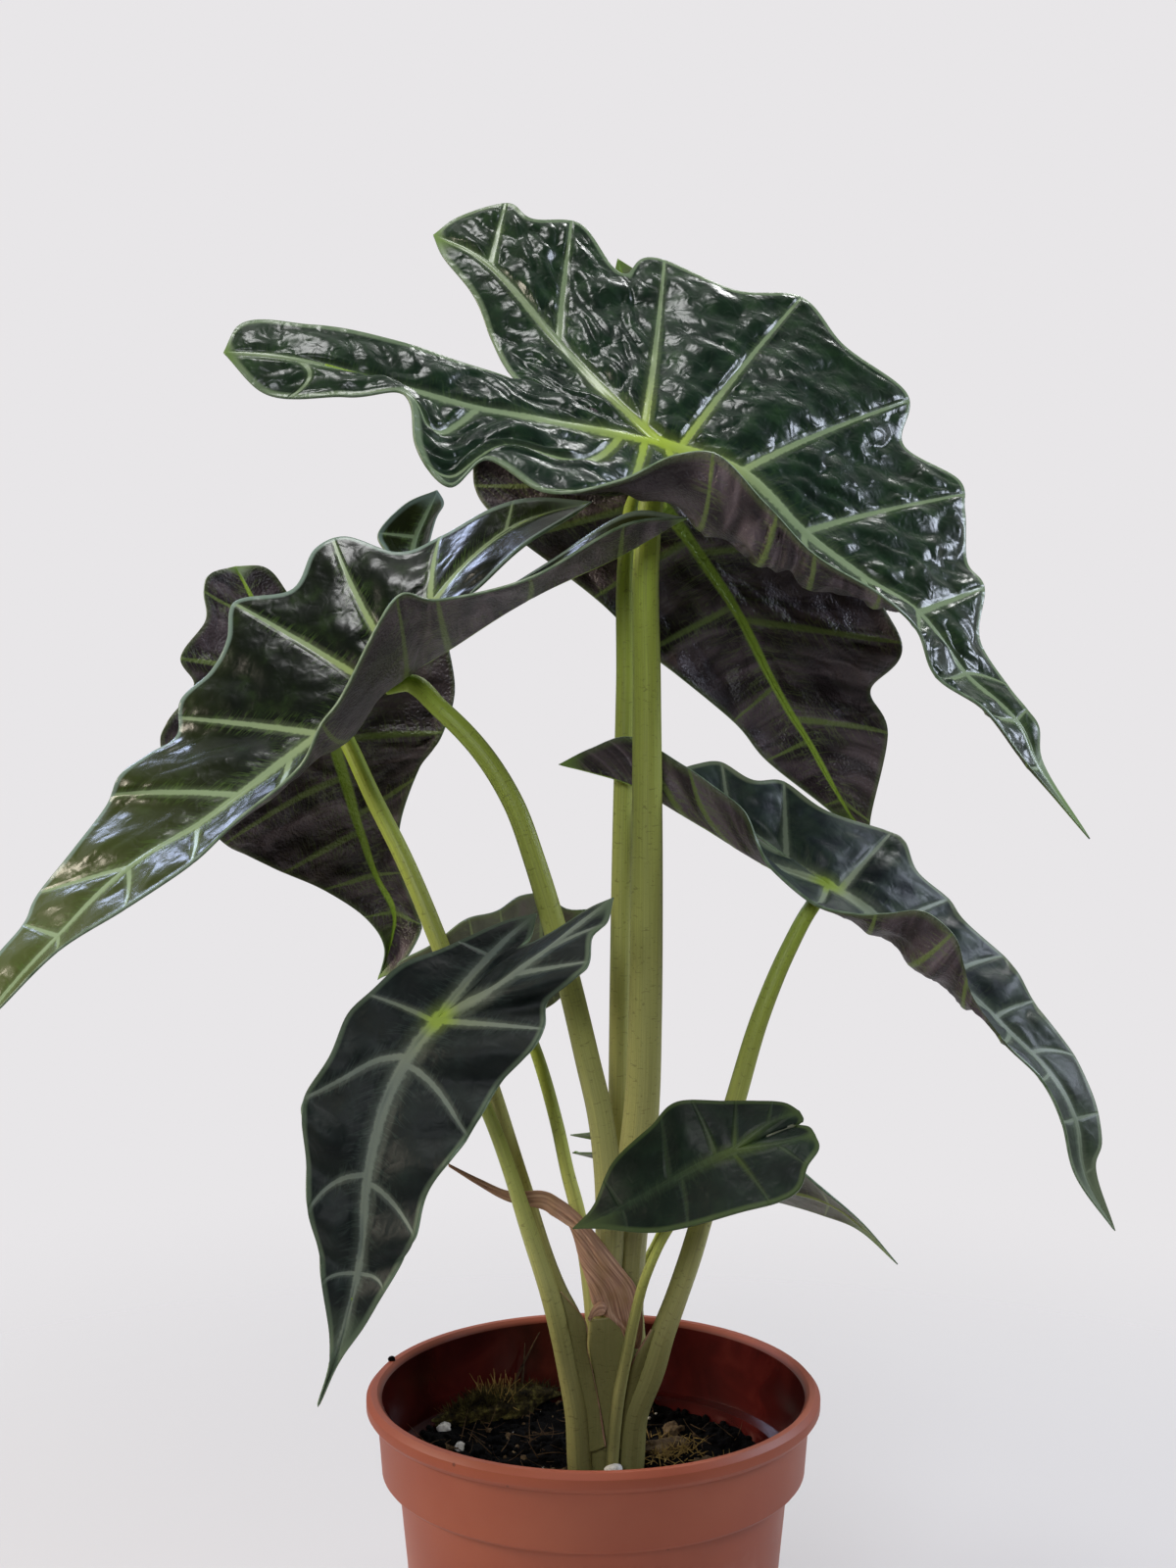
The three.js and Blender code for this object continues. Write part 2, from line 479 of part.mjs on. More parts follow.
// One side of a blade as rows of places: outside its ribs, and inside its lobe up to the notch.
function bladeSide(leaf, side) {
  const half = leaf[side];
  const midrib = numbered(leaf.midrib);
  const lobeRib = numbered([leaf.midrib[0], ...half.lobe]);
  const low = -(leaf.midrib.length - 1);
  const high = half.lobe.length;
  const rib = (number) => (number <= 0 ? along(midrib, -number) : along(lobeRib, number));
  const outer = [[low, rib(low)], ...measured(half.outer), [high, rib(high)]];
  const inner = [[0, place(leaf.notch)], ...measured(half.inner), [high, rib(high)]];
  const rest = new THREE.Vector3();
  const folds = half.fold
    ? [
        [low, rest],
        ...measured(half.fold).map(([number, p]) => [
          number,
          p.sub(rib(number).add(along(outer, number)).divideScalar(2)),
        ]),
        [high, rest],
      ]
    : [
        [low, rest],
        [high, rest],
      ];
  const rowsPer = leaf.size ? 2 : leafSize.rows;
  const strip = (from, edge, columns, fold, veins) => {
    const rows = [];
    for (let row = from * rowsPer; row <= high * rowsPer; row++) {
      const number = row / rowsPer;
      const start = rib(number);
      const end = along(edge, number);
      const width = start.distanceTo(end);
      const taper = Math.sqrt(Math.max(0, number < 0 ? 1 - number / low : 1 - number / high));
      rows.push(
        columns.map((s) => ({
          point: start
            .clone()
            .lerp(end, s)
            .addScaledVector(along(fold, number), 4 * s * (1 - s)),
          puff:
            betweenVeins(veins, number, s) *
            Math.sin(Math.PI * Math.min(s * 1.15, 1)) *
            Math.min(1, width / leafSize.puffSpan),
          keel: s === 0 ? taper : 0,
          vein: (1 - betweenVeins(veins, number, s)) ** 3 * (1 - s) * taper,
        })),
      );
    }
    return rows;
  };
  const flat = [
    [0, rest],
    [1, rest],
  ];
  const innerVeins = lobeRib.map(([number]) => [number, number]);
  return {
    outer: strip(low, outer, [0, 0.2, 0.6, 1], folds, half.veins),
    inner: strip(0, inner, [0, 1], flat, innerVeins),
  };
}

// A closed blade: the rows' places joined into one sheet, thickened along its normals.
function bladeGeometry(leaf, grow = 0) {
  const places = [];
  const index = new Map();
  const faces = [];
  const vertex = (spot) => {
    const key = spot.point.toArray().map((v) => Math.round(v * 50)).join();
    if (!index.has(key)) {
      index.set(key, places.length);
      places.push(spot);
    }
    return index.get(key);
  };
  const face = (a, b, c) => {
    if (a !== b && b !== c && c !== a) faces.push([a, b, c]);
  };
  const sheet = (rows, turned) => {
    const ids = rows.map((row) => row.map(vertex));
    for (let i = 0; i + 1 < ids.length; i++) {
      for (let j = 0; j + 1 < ids[i].length; j++) {
        const [a, b, c, d] = [ids[i][j], ids[i][j + 1], ids[i + 1][j + 1], ids[i + 1][j]];
        if (turned) {
          face(a, c, b);
          face(a, d, c);
        } else {
          face(a, b, c);
          face(a, c, d);
        }
      }
    }
  };
  for (const side of ["left", "right"]) {
    const strips = bladeSide(leaf, side);
    sheet(strips.outer, side === "right");
    sheet(strips.inner, side === "left");
  }
  const normals = places.map(() => new THREE.Vector3());
  const [ab, ac] = [new THREE.Vector3(), new THREE.Vector3()];
  for (const [a, b, c] of faces) {
    ab.subVectors(places[b].point, places[a].point);
    ac.subVectors(places[c].point, places[a].point);
    ab.cross(ac);
    for (const v of [a, b, c]) normals[v].add(ab);
  }
  const count = places.length;
  const position = new Float32Array(count * 6);
  const scale = leaf.size ?? 1;
  places.forEach(({ point, puff, keel, vein }, v) => {
    const normal = normals[v].normalize();
    const lift = leafSize.puff * scale * puff;
    const half = leafSize.blade / 2 + grow;
    const below = scale * Math.max(leafSize.rib * keel, leafSize.vein * vein);
    point.clone().addScaledVector(normal, lift + half).toArray(position, v * 3);
    point.clone().addScaledVector(normal, lift - half - below).toArray(position, (count + v) * 3);
  });
  const edges = new Map();
  for (const [a, b, c] of faces) {
    for (const [p, q] of [[a, b], [b, c], [c, a]]) edges.set(`${p},${q}`, [p, q]);
  }
  const triangles = [];
  for (const [a, b, c] of faces) triangles.push(a, b, c, count + a, count + c, count + b);
  for (const [p, q] of edges.values()) {
    if (!edges.has(`${q},${p}`)) triangles.push(q, p, count + p, q, count + p, count + q);
  }
  const geometry = new THREE.BufferGeometry();
  geometry.setAttribute("position", new THREE.BufferAttribute(position, 3));
  geometry.setIndex(triangles);
  return geometry;
}

// A round stalk or root through points with a radius each, closed at both ends.
function stalkGeometry(points, radii, { sides = 8, grow = 0 } = {}) {
  const back = new THREE.Vector3(0, 1, 0);
  const position = [];
  const triangles = [];
  const last = points.length - 1;
  for (let ring = 0; ring <= last; ring++) {
    const centre = points[ring];
    const ahead = points[Math.min(ring + 1, last)].clone();
    const behind = points[Math.max(ring - 1, 0)];
    const tangent = ahead.sub(behind).normalize();
    const across = new THREE.Vector3().crossVectors(back, tangent).normalize();
    const out = new THREE.Vector3().crossVectors(tangent, across);
    const radius = radii[ring] + grow;
    for (let side = 0; side < sides; side++) {
      const angle = (2 * Math.PI * (side + 0.5)) / sides;
      const spot = centre
        .clone()
        .addScaledVector(across, radius * Math.cos(angle))
        .addScaledVector(out, radius * Math.sin(angle));
      position.push(...spot.toArray());
      if (ring === last) continue;
      const a = ring * sides + side;
      const b = ring * sides + ((side + 1) % sides);
      triangles.push(a, b, b + sides, a, b + sides, a + sides);
    }
  }
  const top = last * sides;
  for (let side = 1; side + 1 < sides; side++) {
    triangles.push(0, side + 1, side, top, top + side, top + side + 1);
  }
  const geometry = new THREE.BufferGeometry();
  geometry.setAttribute("position", new THREE.Float32BufferAttribute(position, 3));
  geometry.setIndex(triangles);
  return geometry;
}

// Joins and cuts need a closed mesh whose corners are shared.
function solid(geometry) {
  const bare = geometry.clone();
  bare.deleteAttribute("normal");
  bare.deleteAttribute("uv");
  const merged = mergeVertices(bare, 1e-3);
  return new wasm.Manifold(
    new wasm.Mesh({
      numProp: 3,
      vertProperties: merged.attributes.position.array,
      triVerts: new Uint32Array(merged.index.array),
    }),
  );
}

function shape(manifold) {
  const mesh = manifold.getMesh();
  const geometry = new THREE.BufferGeometry();
  geometry.setAttribute("position", new THREE.BufferAttribute(mesh.vertProperties, 3));
  geometry.setIndex(new THREE.BufferAttribute(mesh.triVerts, 1));
  return geometry;
}

// The biggest body of a cut piece: the crumbs that a cut leaves are dropped.
function biggest(manifold) {
  return manifold.decompose().sort((a, b) => b.volume() - a.volume())[0];
}

// A leaf's stalk, with a foot that leans in and reaches into the corm's crown.
function stalkOf(leaf, grow = 0) {
  const points = leaf.stalk.map((p) => place(p));
  const radii = leaf.stalk.map((p) => p[3]);
  const foot = points[0].clone();
  foot.x += (cormSize.x - foot.x) * 0.25;
  foot.y += (cormSize.y - foot.y) * 0.25;
  foot.z = cormSize.top - 1;
  return solid(stalkGeometry([foot, ...points], [radii[0] * 0.9, ...radii], { grow }));
}

// The pot's outline from the middle of the floor, out and up to the lip, and back down inside.
function potOutline(shrink = 0) {
  const p = potSize;
  const inner = p.wall + shrink;
  const ledge = p.bandBottom + p.wall;
  return {
    outside: [
      [0, 0],
      [p.baseRadius - p.corner, 0],
      [p.baseRadius - p.corner * 0.3, p.corner * 0.3],
      [p.baseRadius, p.corner],
      [p.bodyRadius, p.bandBottom],
      [p.bandFoot - 0.6, p.bandBottom],
      [p.bandFoot, p.bandBottom + 0.8],
      [p.bandRadius, p.height - p.lipHeight],
      [p.lipRadius - 0.8, p.height - p.lipHeight],
      [p.lipRadius, p.height - p.lipHeight + 1.2],
      [p.lipRadius, p.height - 1.4],
      [p.lipRadius - 1.2, p.height],
      [p.bandRadius, p.height],
    ],
    inside: [
      [p.bandRadius - inner, p.height - 1.4],
      [p.bandFoot - inner, ledge + shrink],
      [p.bodyRadius - inner, ledge + shrink],
      [p.baseRadius - inner, p.corner],
      [p.baseRadius - inner - 1.5, p.floor + shrink],
      [0, p.floor + shrink],
    ],
  };
}

function lathe(outline, segments) {
  return new THREE.LatheGeometry(
    outline.map(([r, z]) => new THREE.Vector2(r, z)),
    segments,
  ).rotateX(Math.PI / 2);
}

function potShape() {
  const { outside, inside } = potOutline();
  let pot = solid(lathe([...outside, ...inside], potSize.segments));
  for (const { count, ring, radius } of potSize.holes) {
    for (let i = 0; i < count; i++) {
      const angle = (2 * Math.PI * (i + 0.5)) / count;
      const drill = new THREE.CylinderGeometry(radius, radius, 3 * potSize.floor, 8)
        .rotateX(Math.PI / 2)
        .translate(ring * Math.cos(angle), ring * Math.sin(angle), potSize.floor);
      pot = pot.subtract(solid(drill));
    }
  }
  return shape(pot);
}

// The mix's rough top: a plain slope with clods by formula.
function soilHeight(x, y) {
  const clods = Math.sin(x / 5.1 + 0.7) * Math.cos(y / 4.3) + 0.6 * Math.sin(x / 2.9 - y / 3.7 + 1.9);
  return soilSize.height - soilSize.slope * x + soilSize.rough * clods;
}

// A closed body under the rough top, wide enough to reach past the pot's inside.
function soilBlock() {
  const { rings, segments } = soilSize;
  const reach = potSize.bandRadius;
  const position = [0, 0, soilHeight(0, 0), 0, 0, 0];
  const triangles = [];
  const spot = (ring, i) => 2 + (ring - 1) * segments + (i % segments);
  for (let ring = 1; ring <= rings + 1; ring++) {
    const radius = (reach * Math.min(ring, rings)) / rings;
    for (let i = 0; i < segments; i++) {
      const angle = (2 * Math.PI * (i + (ring % 2) / 2)) / segments;
      const x = radius * Math.cos(angle);
      const y = radius * Math.sin(angle);
      position.push(x, y, ring > rings ? 0 : soilHeight(x, y));
    }
  }
  for (let i = 0; i < segments; i++) {
    triangles.push(0, spot(1, i), spot(1, i + 1), 1, spot(rings + 1, i + 1), spot(rings + 1, i));
    for (let ring = 1; ring <= rings; ring++) {
      const shift = ring % 2;
      const [a, b] = [spot(ring, i), spot(ring, i + 1)];
      const [c, d] = [spot(ring + 1, i), spot(ring + 1, i + 1)];
      if (shift) triangles.push(a, d, b, a, c, d);
      else triangles.push(a, c, b, b, c, d);
    }
  }
  const geometry = new THREE.BufferGeometry();
  geometry.setAttribute("position", new THREE.Float32BufferAttribute(position, 3));
  geometry.setIndex(triangles);
  return geometry;
}

// The pot's inside, filled to the rough top, with holes for the corm, its roots and the stalks.
function soilShape(buried) {
  const filling = [...potOutline(gap).inside.toReversed(), [0, potSize.height - 1.4]];
  let soil = solid(lathe(filling, potSize.segments)).intersect(solid(soilBlock()));
  for (const piece of buried) soil = soil.subtract(piece);
  return shape(biggest(soil));
}

// The corm, a squat bulb with a flat crown.
function cormShape(grow = 0) {
  const { x, y, top, height, radius } = cormSize;
  const outline = [[0, top - height - grow]];
  const steps = 6;
  for (let i = 1; i < steps; i++) {
    const t = i / steps;
    outline.push([radius * Math.sin(Math.PI * t) ** 0.6 + grow, top - height * (1 - t)]);
  }
  outline.push([radius * 0.86 + grow, top + grow], [0, top + grow]);
  return solid(lathe(outline, 16).translate(x, y, 0));
}

// Roots leave the corm all round, dip and run out to the pot's wall.
function rootShape(i, grow = 0) {
  const angle = (2 * Math.PI * (i + 0.3 * Math.sin(3 * i))) / cormSize.roots;
  const reach = 38 - 5 * ((i * 3) % 4);
  const drop = 20 + 11 * ((i * 2) % 3);
  const start = cormSize.top - cormSize.height * (0.35 + 0.1 * (i % 4));
  const points = [0.1, 0.35, 0.6, 0.8, 1].map((s) => {
    const swing = angle + 0.25 * Math.sin(4 * s + i);
    return new THREE.Vector3(
      cormSize.x + reach * s * Math.cos(swing),
      cormSize.y + reach * s * Math.sin(swing),
      Math.max(start - drop * s * s, potSize.floor + 6 + 2 * i),
    );
  });
  return solid(stalkGeometry(points, [1.5, 1.3, 1.1, 0.9, 0.7], { sides: 5, grow }));
}

function cormWithRoots(grow = 0) {
  let whole = cormShape(grow);
  for (let i = 0; i < cormSize.roots; i++) whole = whole.add(rootShape(i, grow));
  return whole;
}

// A thin twisted sheet between two edges, closed all round.
function sheathGeometry() {
  const { thick, curl, columns, steps } = sheathSize;
  const sides = [0, 1].map((side) => sheathEdges.map((pair, i) => [i, place(pair[side])]));
  const rows = [];
  for (let row = 0; row <= (sheathEdges.length - 1) * steps; row++) {
    const [right, left] = sides.map((edge) => along(edge, row / steps));
    const line = [];
    for (let j = 0; j <= columns; j++) {
      const s = j / columns;
      const bow = Math.min(curl, 0.16 * right.distanceTo(left)) * 4 * s * (1 - s);
      line.push(right.clone().lerp(left, s).add(new THREE.Vector3(0, -bow, 0)));
    }
    rows.push(line);
  }
  const wide = columns + 1;
  const count = rows.length * wide;
  const position = new Float32Array(count * 6);
  rows.forEach((line, i) => {
    const before = rows[Math.max(i - 1, 0)];
    const after = rows[Math.min(i + 1, rows.length - 1)];
    line.forEach((point, j) => {
      const run = after[j].clone().sub(before[j]);
      const span = line[Math.min(j + 1, columns)].clone().sub(line[Math.max(j - 1, 0)]);
      const normal = span.cross(run).normalize().multiplyScalar(thick / 2);
      const v = i * wide + j;
      point.clone().add(normal).toArray(position, v * 3);
      point.clone().sub(normal).toArray(position, (count + v) * 3);
    });
  });
  const triangles = [];
  const wall = (p, q) => triangles.push(q, p, count + p, q, count + p, count + q);
  for (let i = 0; i + 1 < rows.length; i++) {
    for (let j = 0; j < columns; j++) {
      const [a, b] = [i * wide + j, i * wide + j + 1];
      const [c, d] = [b + wide, a + wide];
      triangles.push(a, b, c, a, c, d, count + a, count + c, count + b, count + a, count + d, count + c);
    }
    wall(i * wide + columns, (i + 1) * wide + columns);
    wall((i + 1) * wide, i * wide);
  }
  for (let j = 0; j < columns; j++) {
    wall(j, j + 1);
    wall((rows.length - 1) * wide + j + 1, (rows.length - 1) * wide + j);
  }
  const geometry = new THREE.BufferGeometry();
  geometry.setAttribute("position", new THREE.BufferAttribute(position, 3));
  geometry.setIndex(triangles);
  return geometry;
}

// A rough lump that lies in its own dent in the mix: a ball pressed to its size, broken up by formula.
function lumpGeometry({ x, y, size, turn, rough = 0.12, detail = 1 }, grow = 0) {
  const facets = new THREE.IcosahedronGeometry(0.5, detail);
  const ball = mergeVertices(facets.deleteAttribute("normal").deleteAttribute("uv"));
  const spots = ball.attributes.position;
  const p = new THREE.Vector3();
  for (let i = 0; i < spots.count; i++) {
    p.fromBufferAttribute(spots, i);
    p.multiplyScalar(1 + rough * Math.sin(9 * p.x + 7 * p.y + 5 * p.z + x));
    spots.setXYZ(i, ...size.map((length, axis) => p.getComponent(axis) * (length + 2 * grow)));
  }
  ball.rotateZ(THREE.MathUtils.degToRad(turn));
  return ball.translate(x, y, soilHeight(x, y) + size[2] * 0.3);
}

const litter = {
  moss_clump: { x: -26.7, y: 34.5, size: [39, 11, 8], turn: 38, rough: 0.1, detail: 2, colour: "moss" },
  bark_chip_1: { x: 20, y: 14, size: [13, 7, 4], turn: 25, colour: "bark" },
  bark_chip_2: { x: 31, y: 4, size: [9, 6, 3.6], turn: -40, colour: "bark" },
  bark_chip_3: { x: 22, y: 28, size: [8, 5, 3.4], turn: 80, colour: "bark" },
  perlite_1: { x: 5.2, y: -13.5, size: [6.5, 4.6, 5.4], turn: 15, colour: "perlite" },
  perlite_2: { x: -41, y: 20, size: [4, 3.4, 3], turn: 40, colour: "perlite" },
  perlite_3: { x: -36, y: 9, size: [3.4, 3, 2.8], turn: 70, colour: "perlite" },
};

const finish = {
  pot: { color: 0x964c3d, roughness: 0.45 },
  soil: { color: 0x1f1813, roughness: 1 },
  corm: { color: 0x6a4a34, roughness: 0.8 },
  blade: { color: 0x1f2f24, roughness: 0.25 },
  matteBlade: { color: 0x2a3a30, roughness: 0.5 },
  stalk: { color: 0x87913f, roughness: 0.45 },
  sheath: { color: 0x96735f, roughness: 0.9 },
  moss: { color: 0x4a4a25, roughness: 1 },
  bark: { color: 0x7c6848, roughness: 0.95 },
  perlite: { color: 0xe8e6de, roughness: 0.9 },
};
const materials = Object.fromEntries(
  Object.entries(finish).map(([name, look]) => [
    name,
    new THREE.MeshStandardMaterial({ ...look, metalness: 0 }),
  ]),
);

const plant = new THREE.Group();

function add(name, geometry, material) {
  geometry.computeVertexNormals();
  const mesh = new THREE.Mesh(geometry, materials[material]);
  mesh.name = name;
  plant.add(mesh);
}

// Each stalk gives way to its own blade and, low down where the stalks crowd, to the stalks before it.
const crowd = [];
for (const [name, leaf] of Object.entries(leaves)) {
  let stalk = stalkOf(leaf).subtract(solid(bladeGeometry(leaf, gap))).subtract(cormWithRoots(gap));
  for (const other of crowd) stalk = stalk.subtract(other);
  crowd.push(stalkOf(leaf, gap));
  add(`${name}_stalk`, shape(biggest(stalk)), "stalk");
  add(`${name}_blade`, bladeGeometry(leaf), leaf.matte ? "matteBlade" : "blade");
}

add("dried_sheath", sheathGeometry(), "sheath");
add("corm_with_roots", shape(cormWithRoots()), "corm");
add("pot", potShape(), "pot");
const buried = [cormWithRoots(gap), ...crowd];
for (const [name, lump] of Object.entries(litter)) {
  add(name, lumpGeometry(lump), lump.colour);
  buried.push(solid(lumpGeometry(lump, gap)));
}
add("potting_mix", soilShape(buried), "soil");

export default plant;
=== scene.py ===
# A potted alocasia: nine arrow-shaped leaves on their stalks, a dried leaf sheath, the potting mix with what
# lies on it, and a nursery pot. Sizes and places are in millimetres, and mm turns them into metres.
import math
import random

import bpy
import numpy as np
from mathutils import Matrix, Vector, noise


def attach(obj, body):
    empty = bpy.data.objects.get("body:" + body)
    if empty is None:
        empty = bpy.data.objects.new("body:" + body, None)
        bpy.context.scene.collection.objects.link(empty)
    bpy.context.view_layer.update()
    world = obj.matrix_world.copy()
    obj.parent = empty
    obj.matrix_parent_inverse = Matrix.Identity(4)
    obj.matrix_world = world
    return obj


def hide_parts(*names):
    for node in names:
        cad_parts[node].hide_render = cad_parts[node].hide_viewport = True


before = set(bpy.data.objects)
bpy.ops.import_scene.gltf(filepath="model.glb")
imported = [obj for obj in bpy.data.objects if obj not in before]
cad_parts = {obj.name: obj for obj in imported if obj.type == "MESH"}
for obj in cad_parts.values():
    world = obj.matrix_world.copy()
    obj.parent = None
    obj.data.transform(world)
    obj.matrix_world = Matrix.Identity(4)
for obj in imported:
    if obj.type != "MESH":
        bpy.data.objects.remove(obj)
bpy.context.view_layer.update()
mm = 0.001
print("frame loaded:", len(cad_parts), "nodes")


def deselect():
    if bpy.context.object and bpy.context.object.mode != "OBJECT":
        bpy.ops.object.mode_set(mode="OBJECT")
    bpy.ops.object.select_all(action="DESELECT")


def pick(*pieces):
    # selects these pieces only, and the first is the active one
    deselect()
    for piece in pieces:
        piece.select_set(True)
    bpy.context.view_layer.objects.active = pieces[0]


# camera, lights and floor

studio = {
    "lens": 52,
    "eye": (-1.4, -583.6, 323),  # mm
    "dip": math.radians(5.4),  # how far the camera looks down
    "backdrop": "#e8e6e8",
    "floor": "#d4d2d1",
    "floorRadius": 700,  # mm
    "gloss": (0.38, 1.9),  # share of its light that the room's dim and bright patches show in gloss
}


def toLinear(hexColour):
    parts = [int(hexColour[i : i + 2], 16) / 255 for i in (1, 3, 5)]
    return (*[c / 12.92 if c <= 0.04045 else ((c + 0.055) / 1.055) ** 2.4 for c in parts], 1)


def addNode(tree, kind, links=None, stops=None, **settings):
    # Inputs go by name or number. A map range takes its value at 0, which runs from 1 to 2 and becomes 3
    # to 4, and a colour mix takes its share at 0 and its colours at 6 and 7.
    made = tree.nodes.new(kind)
    for key, value in settings.items():
        setattr(made, key, value)
    for key, value in (links or {}).items():
        if isinstance(value, bpy.types.NodeSocket):
            tree.links.new(value, made.inputs[key])
        else:
            made.inputs[key].default_value = value
    if stops:
        ramp = made.color_ramp
        while len(ramp.elements) < len(stops):
            ramp.elements.new(0.5)
        for element, (position, colour) in zip(ramp.elements, stops):
            element.position = position
            element.color = toLinear(colour)
    return made


def newMaterial(name):
    material = bpy.data.materials.new(name)
    material.use_nodes = True
    tree = material.node_tree
    return material, tree, tree.nodes["Principled BSDF"]


def makeCamera():
    bpy.ops.object.camera_add(
        location=Vector(studio["eye"]) * mm,
        rotation=(math.pi / 2 - studio["dip"], 0, 0),
    )
    camera = bpy.context.object
    camera.data.lens = studio["lens"]
    camera.data.sensor_fit = "AUTO"
    camera.data.sensor_width = 36
    camera.data.clip_start = 0.01
    bpy.context.scene.camera = camera


# Softboxes: place and size in mm, power in watts, colour, and where each one points.
softboxes = [
    {"name": "overheadSoftbox", "at": (-150, -100, 1350), "size": 300, "power": 4.5, "tint": "#ffffff"},
    {"name": "backSoftbox", "at": (350, 900, 1150), "size": 260, "power": 3, "tint": "#ffffff"},
    {"name": "windowSoftbox", "at": (-700, 900, 1000), "size": 300, "power": 3, "tint": "#c9d8ff"},
    {"name": "leftSoftbox", "at": (-1250, -150, 700), "size": 400, "power": 10, "tint": "#fff1de"},
    {"name": "rightSoftbox", "at": (1200, 250, 800), "size": 400, "power": 9, "tint": "#e2ebff"},
    {"name": "frontFill", "at": (-300, -1500, 900), "size": 400, "power": 8, "tint": "#f4f6ff"},
]


def makeLights():
    target = Vector((0, 0, 260)) * mm
    for box in softboxes:
        spot = Vector(box["at"]) * mm
        bpy.ops.object.light_add(type="AREA", location=spot)
        lamp = bpy.context.object
        lamp.name = box["name"]
        lamp.rotation_euler = (target - spot).to_track_quat("-Z", "Y").to_euler()
        lamp.data.shape = "SQUARE"
        lamp.data.size = box["size"] * mm
        lamp.data.energy = box["power"]
        lamp.data.color = toLinear(box["tint"])[:3]
    world = bpy.data.worlds.new("paleRoom")
    world.use_nodes = True
    bpy.context.scene.world = world
    tree = world.node_tree
    tree.nodes.clear()
    way = addNode(tree, "ShaderNodeTexCoord").outputs["Generated"]
    split = addNode(tree, "ShaderNodeSeparateXYZ", {0: way})
    # The room is pale behind and above the plant and dim on the side that the picture is taken from.
    behind = addNode(
        tree,
        "ShaderNodeMapRange",
        {"Value": split.outputs["Y"], "From Min": -0.5, "From Max": 0.7, "To Min": 0.07, "To Max": 0.5},
        interpolation_type="SMOOTHSTEP",
    )
    above = addNode(
        tree,
        "ShaderNodeMapRange",
        {"Value": split.outputs["Z"], "From Min": -0.2, "From Max": 1.0, "To Min": 0.7, "To Max": 1.1},
    )
    glow = addNode(
        tree, "ShaderNodeMath", {0: behind.outputs[0], 1: above.outputs[0]}, operation="MULTIPLY"
    )
    # Gloss shows a room of dim and bright patches.
    path = addNode(tree, "ShaderNodeLightPath")
    patches = addNode(tree, "ShaderNodeTexNoise", {"Vector": way, "Scale": 2.2, "Detail": 2.0})
    patch = addNode(
        tree,
        "ShaderNodeMapRange",
        {0: patches.outputs["Fac"], 1: 0.42, 2: 0.66, 3: studio["gloss"][0], 4: studio["gloss"][1]},
    )
    dim = addNode(
        tree,
        "ShaderNodeMix",
        {0: path.outputs["Is Glossy Ray"], 2: 1.0, 3: patch.outputs[0]},
        data_type="FLOAT",
    )
    dimmed = addNode(tree, "ShaderNodeMath", {0: glow.outputs[0], 1: dim.outputs[0]}, operation="MULTIPLY")
    seen = path.outputs["Is Camera Ray"]
    room = addNode(tree, "ShaderNodeBackground", {"Strength": dimmed.outputs[0]})
    backdrop = addNode(tree, "ShaderNodeBackground", {"Color": toLinear(studio["backdrop"])})
    mixed = addNode(tree, "ShaderNodeMixShader", {0: seen, 1: room.outputs[0], 2: backdrop.outputs[0]})
    addNode(tree, "ShaderNodeOutputWorld", {"Surface": mixed.outputs[0]})
    bpy.context.scene.view_settings.view_transform = "Standard"


def makeFloor():
    radius = studio["floorRadius"] * mm
    bpy.ops.mesh.primitive_circle_add(vertices=96, radius=radius, fill_type="NGON")
    floor = bpy.context.object
    floor.name = "paleFloor"
    material, tree, shader = newMaterial("matteStudioPaper")
    shader.inputs["Base Color"].default_value = toLinear(studio["floor"])
    shader.inputs["Roughness"].default_value = 0.9
    # The paper fades into the backdrop towards its edge.
    spot = addNode(tree, "ShaderNodeTexCoord").outputs["Object"]
    reach = addNode(tree, "ShaderNodeVectorMath", {0: spot}, operation="LENGTH").outputs["Value"]
    fade = addNode(
        tree,
        "ShaderNodeMapRange",
        {"Value": reach, "From Min": radius * 0.25, "From Max": radius * 0.85, "To Min": 1, "To Max": 0},
        interpolation_type="SMOOTHSTEP",
    )
    tree.links.new(fade.outputs[0], shader.inputs["Alpha"])
    floor.data.materials.append(material)


deselect()
makeCamera()
makeLights()
makeFloor()
print("camera, lights and floor made")

# leaves

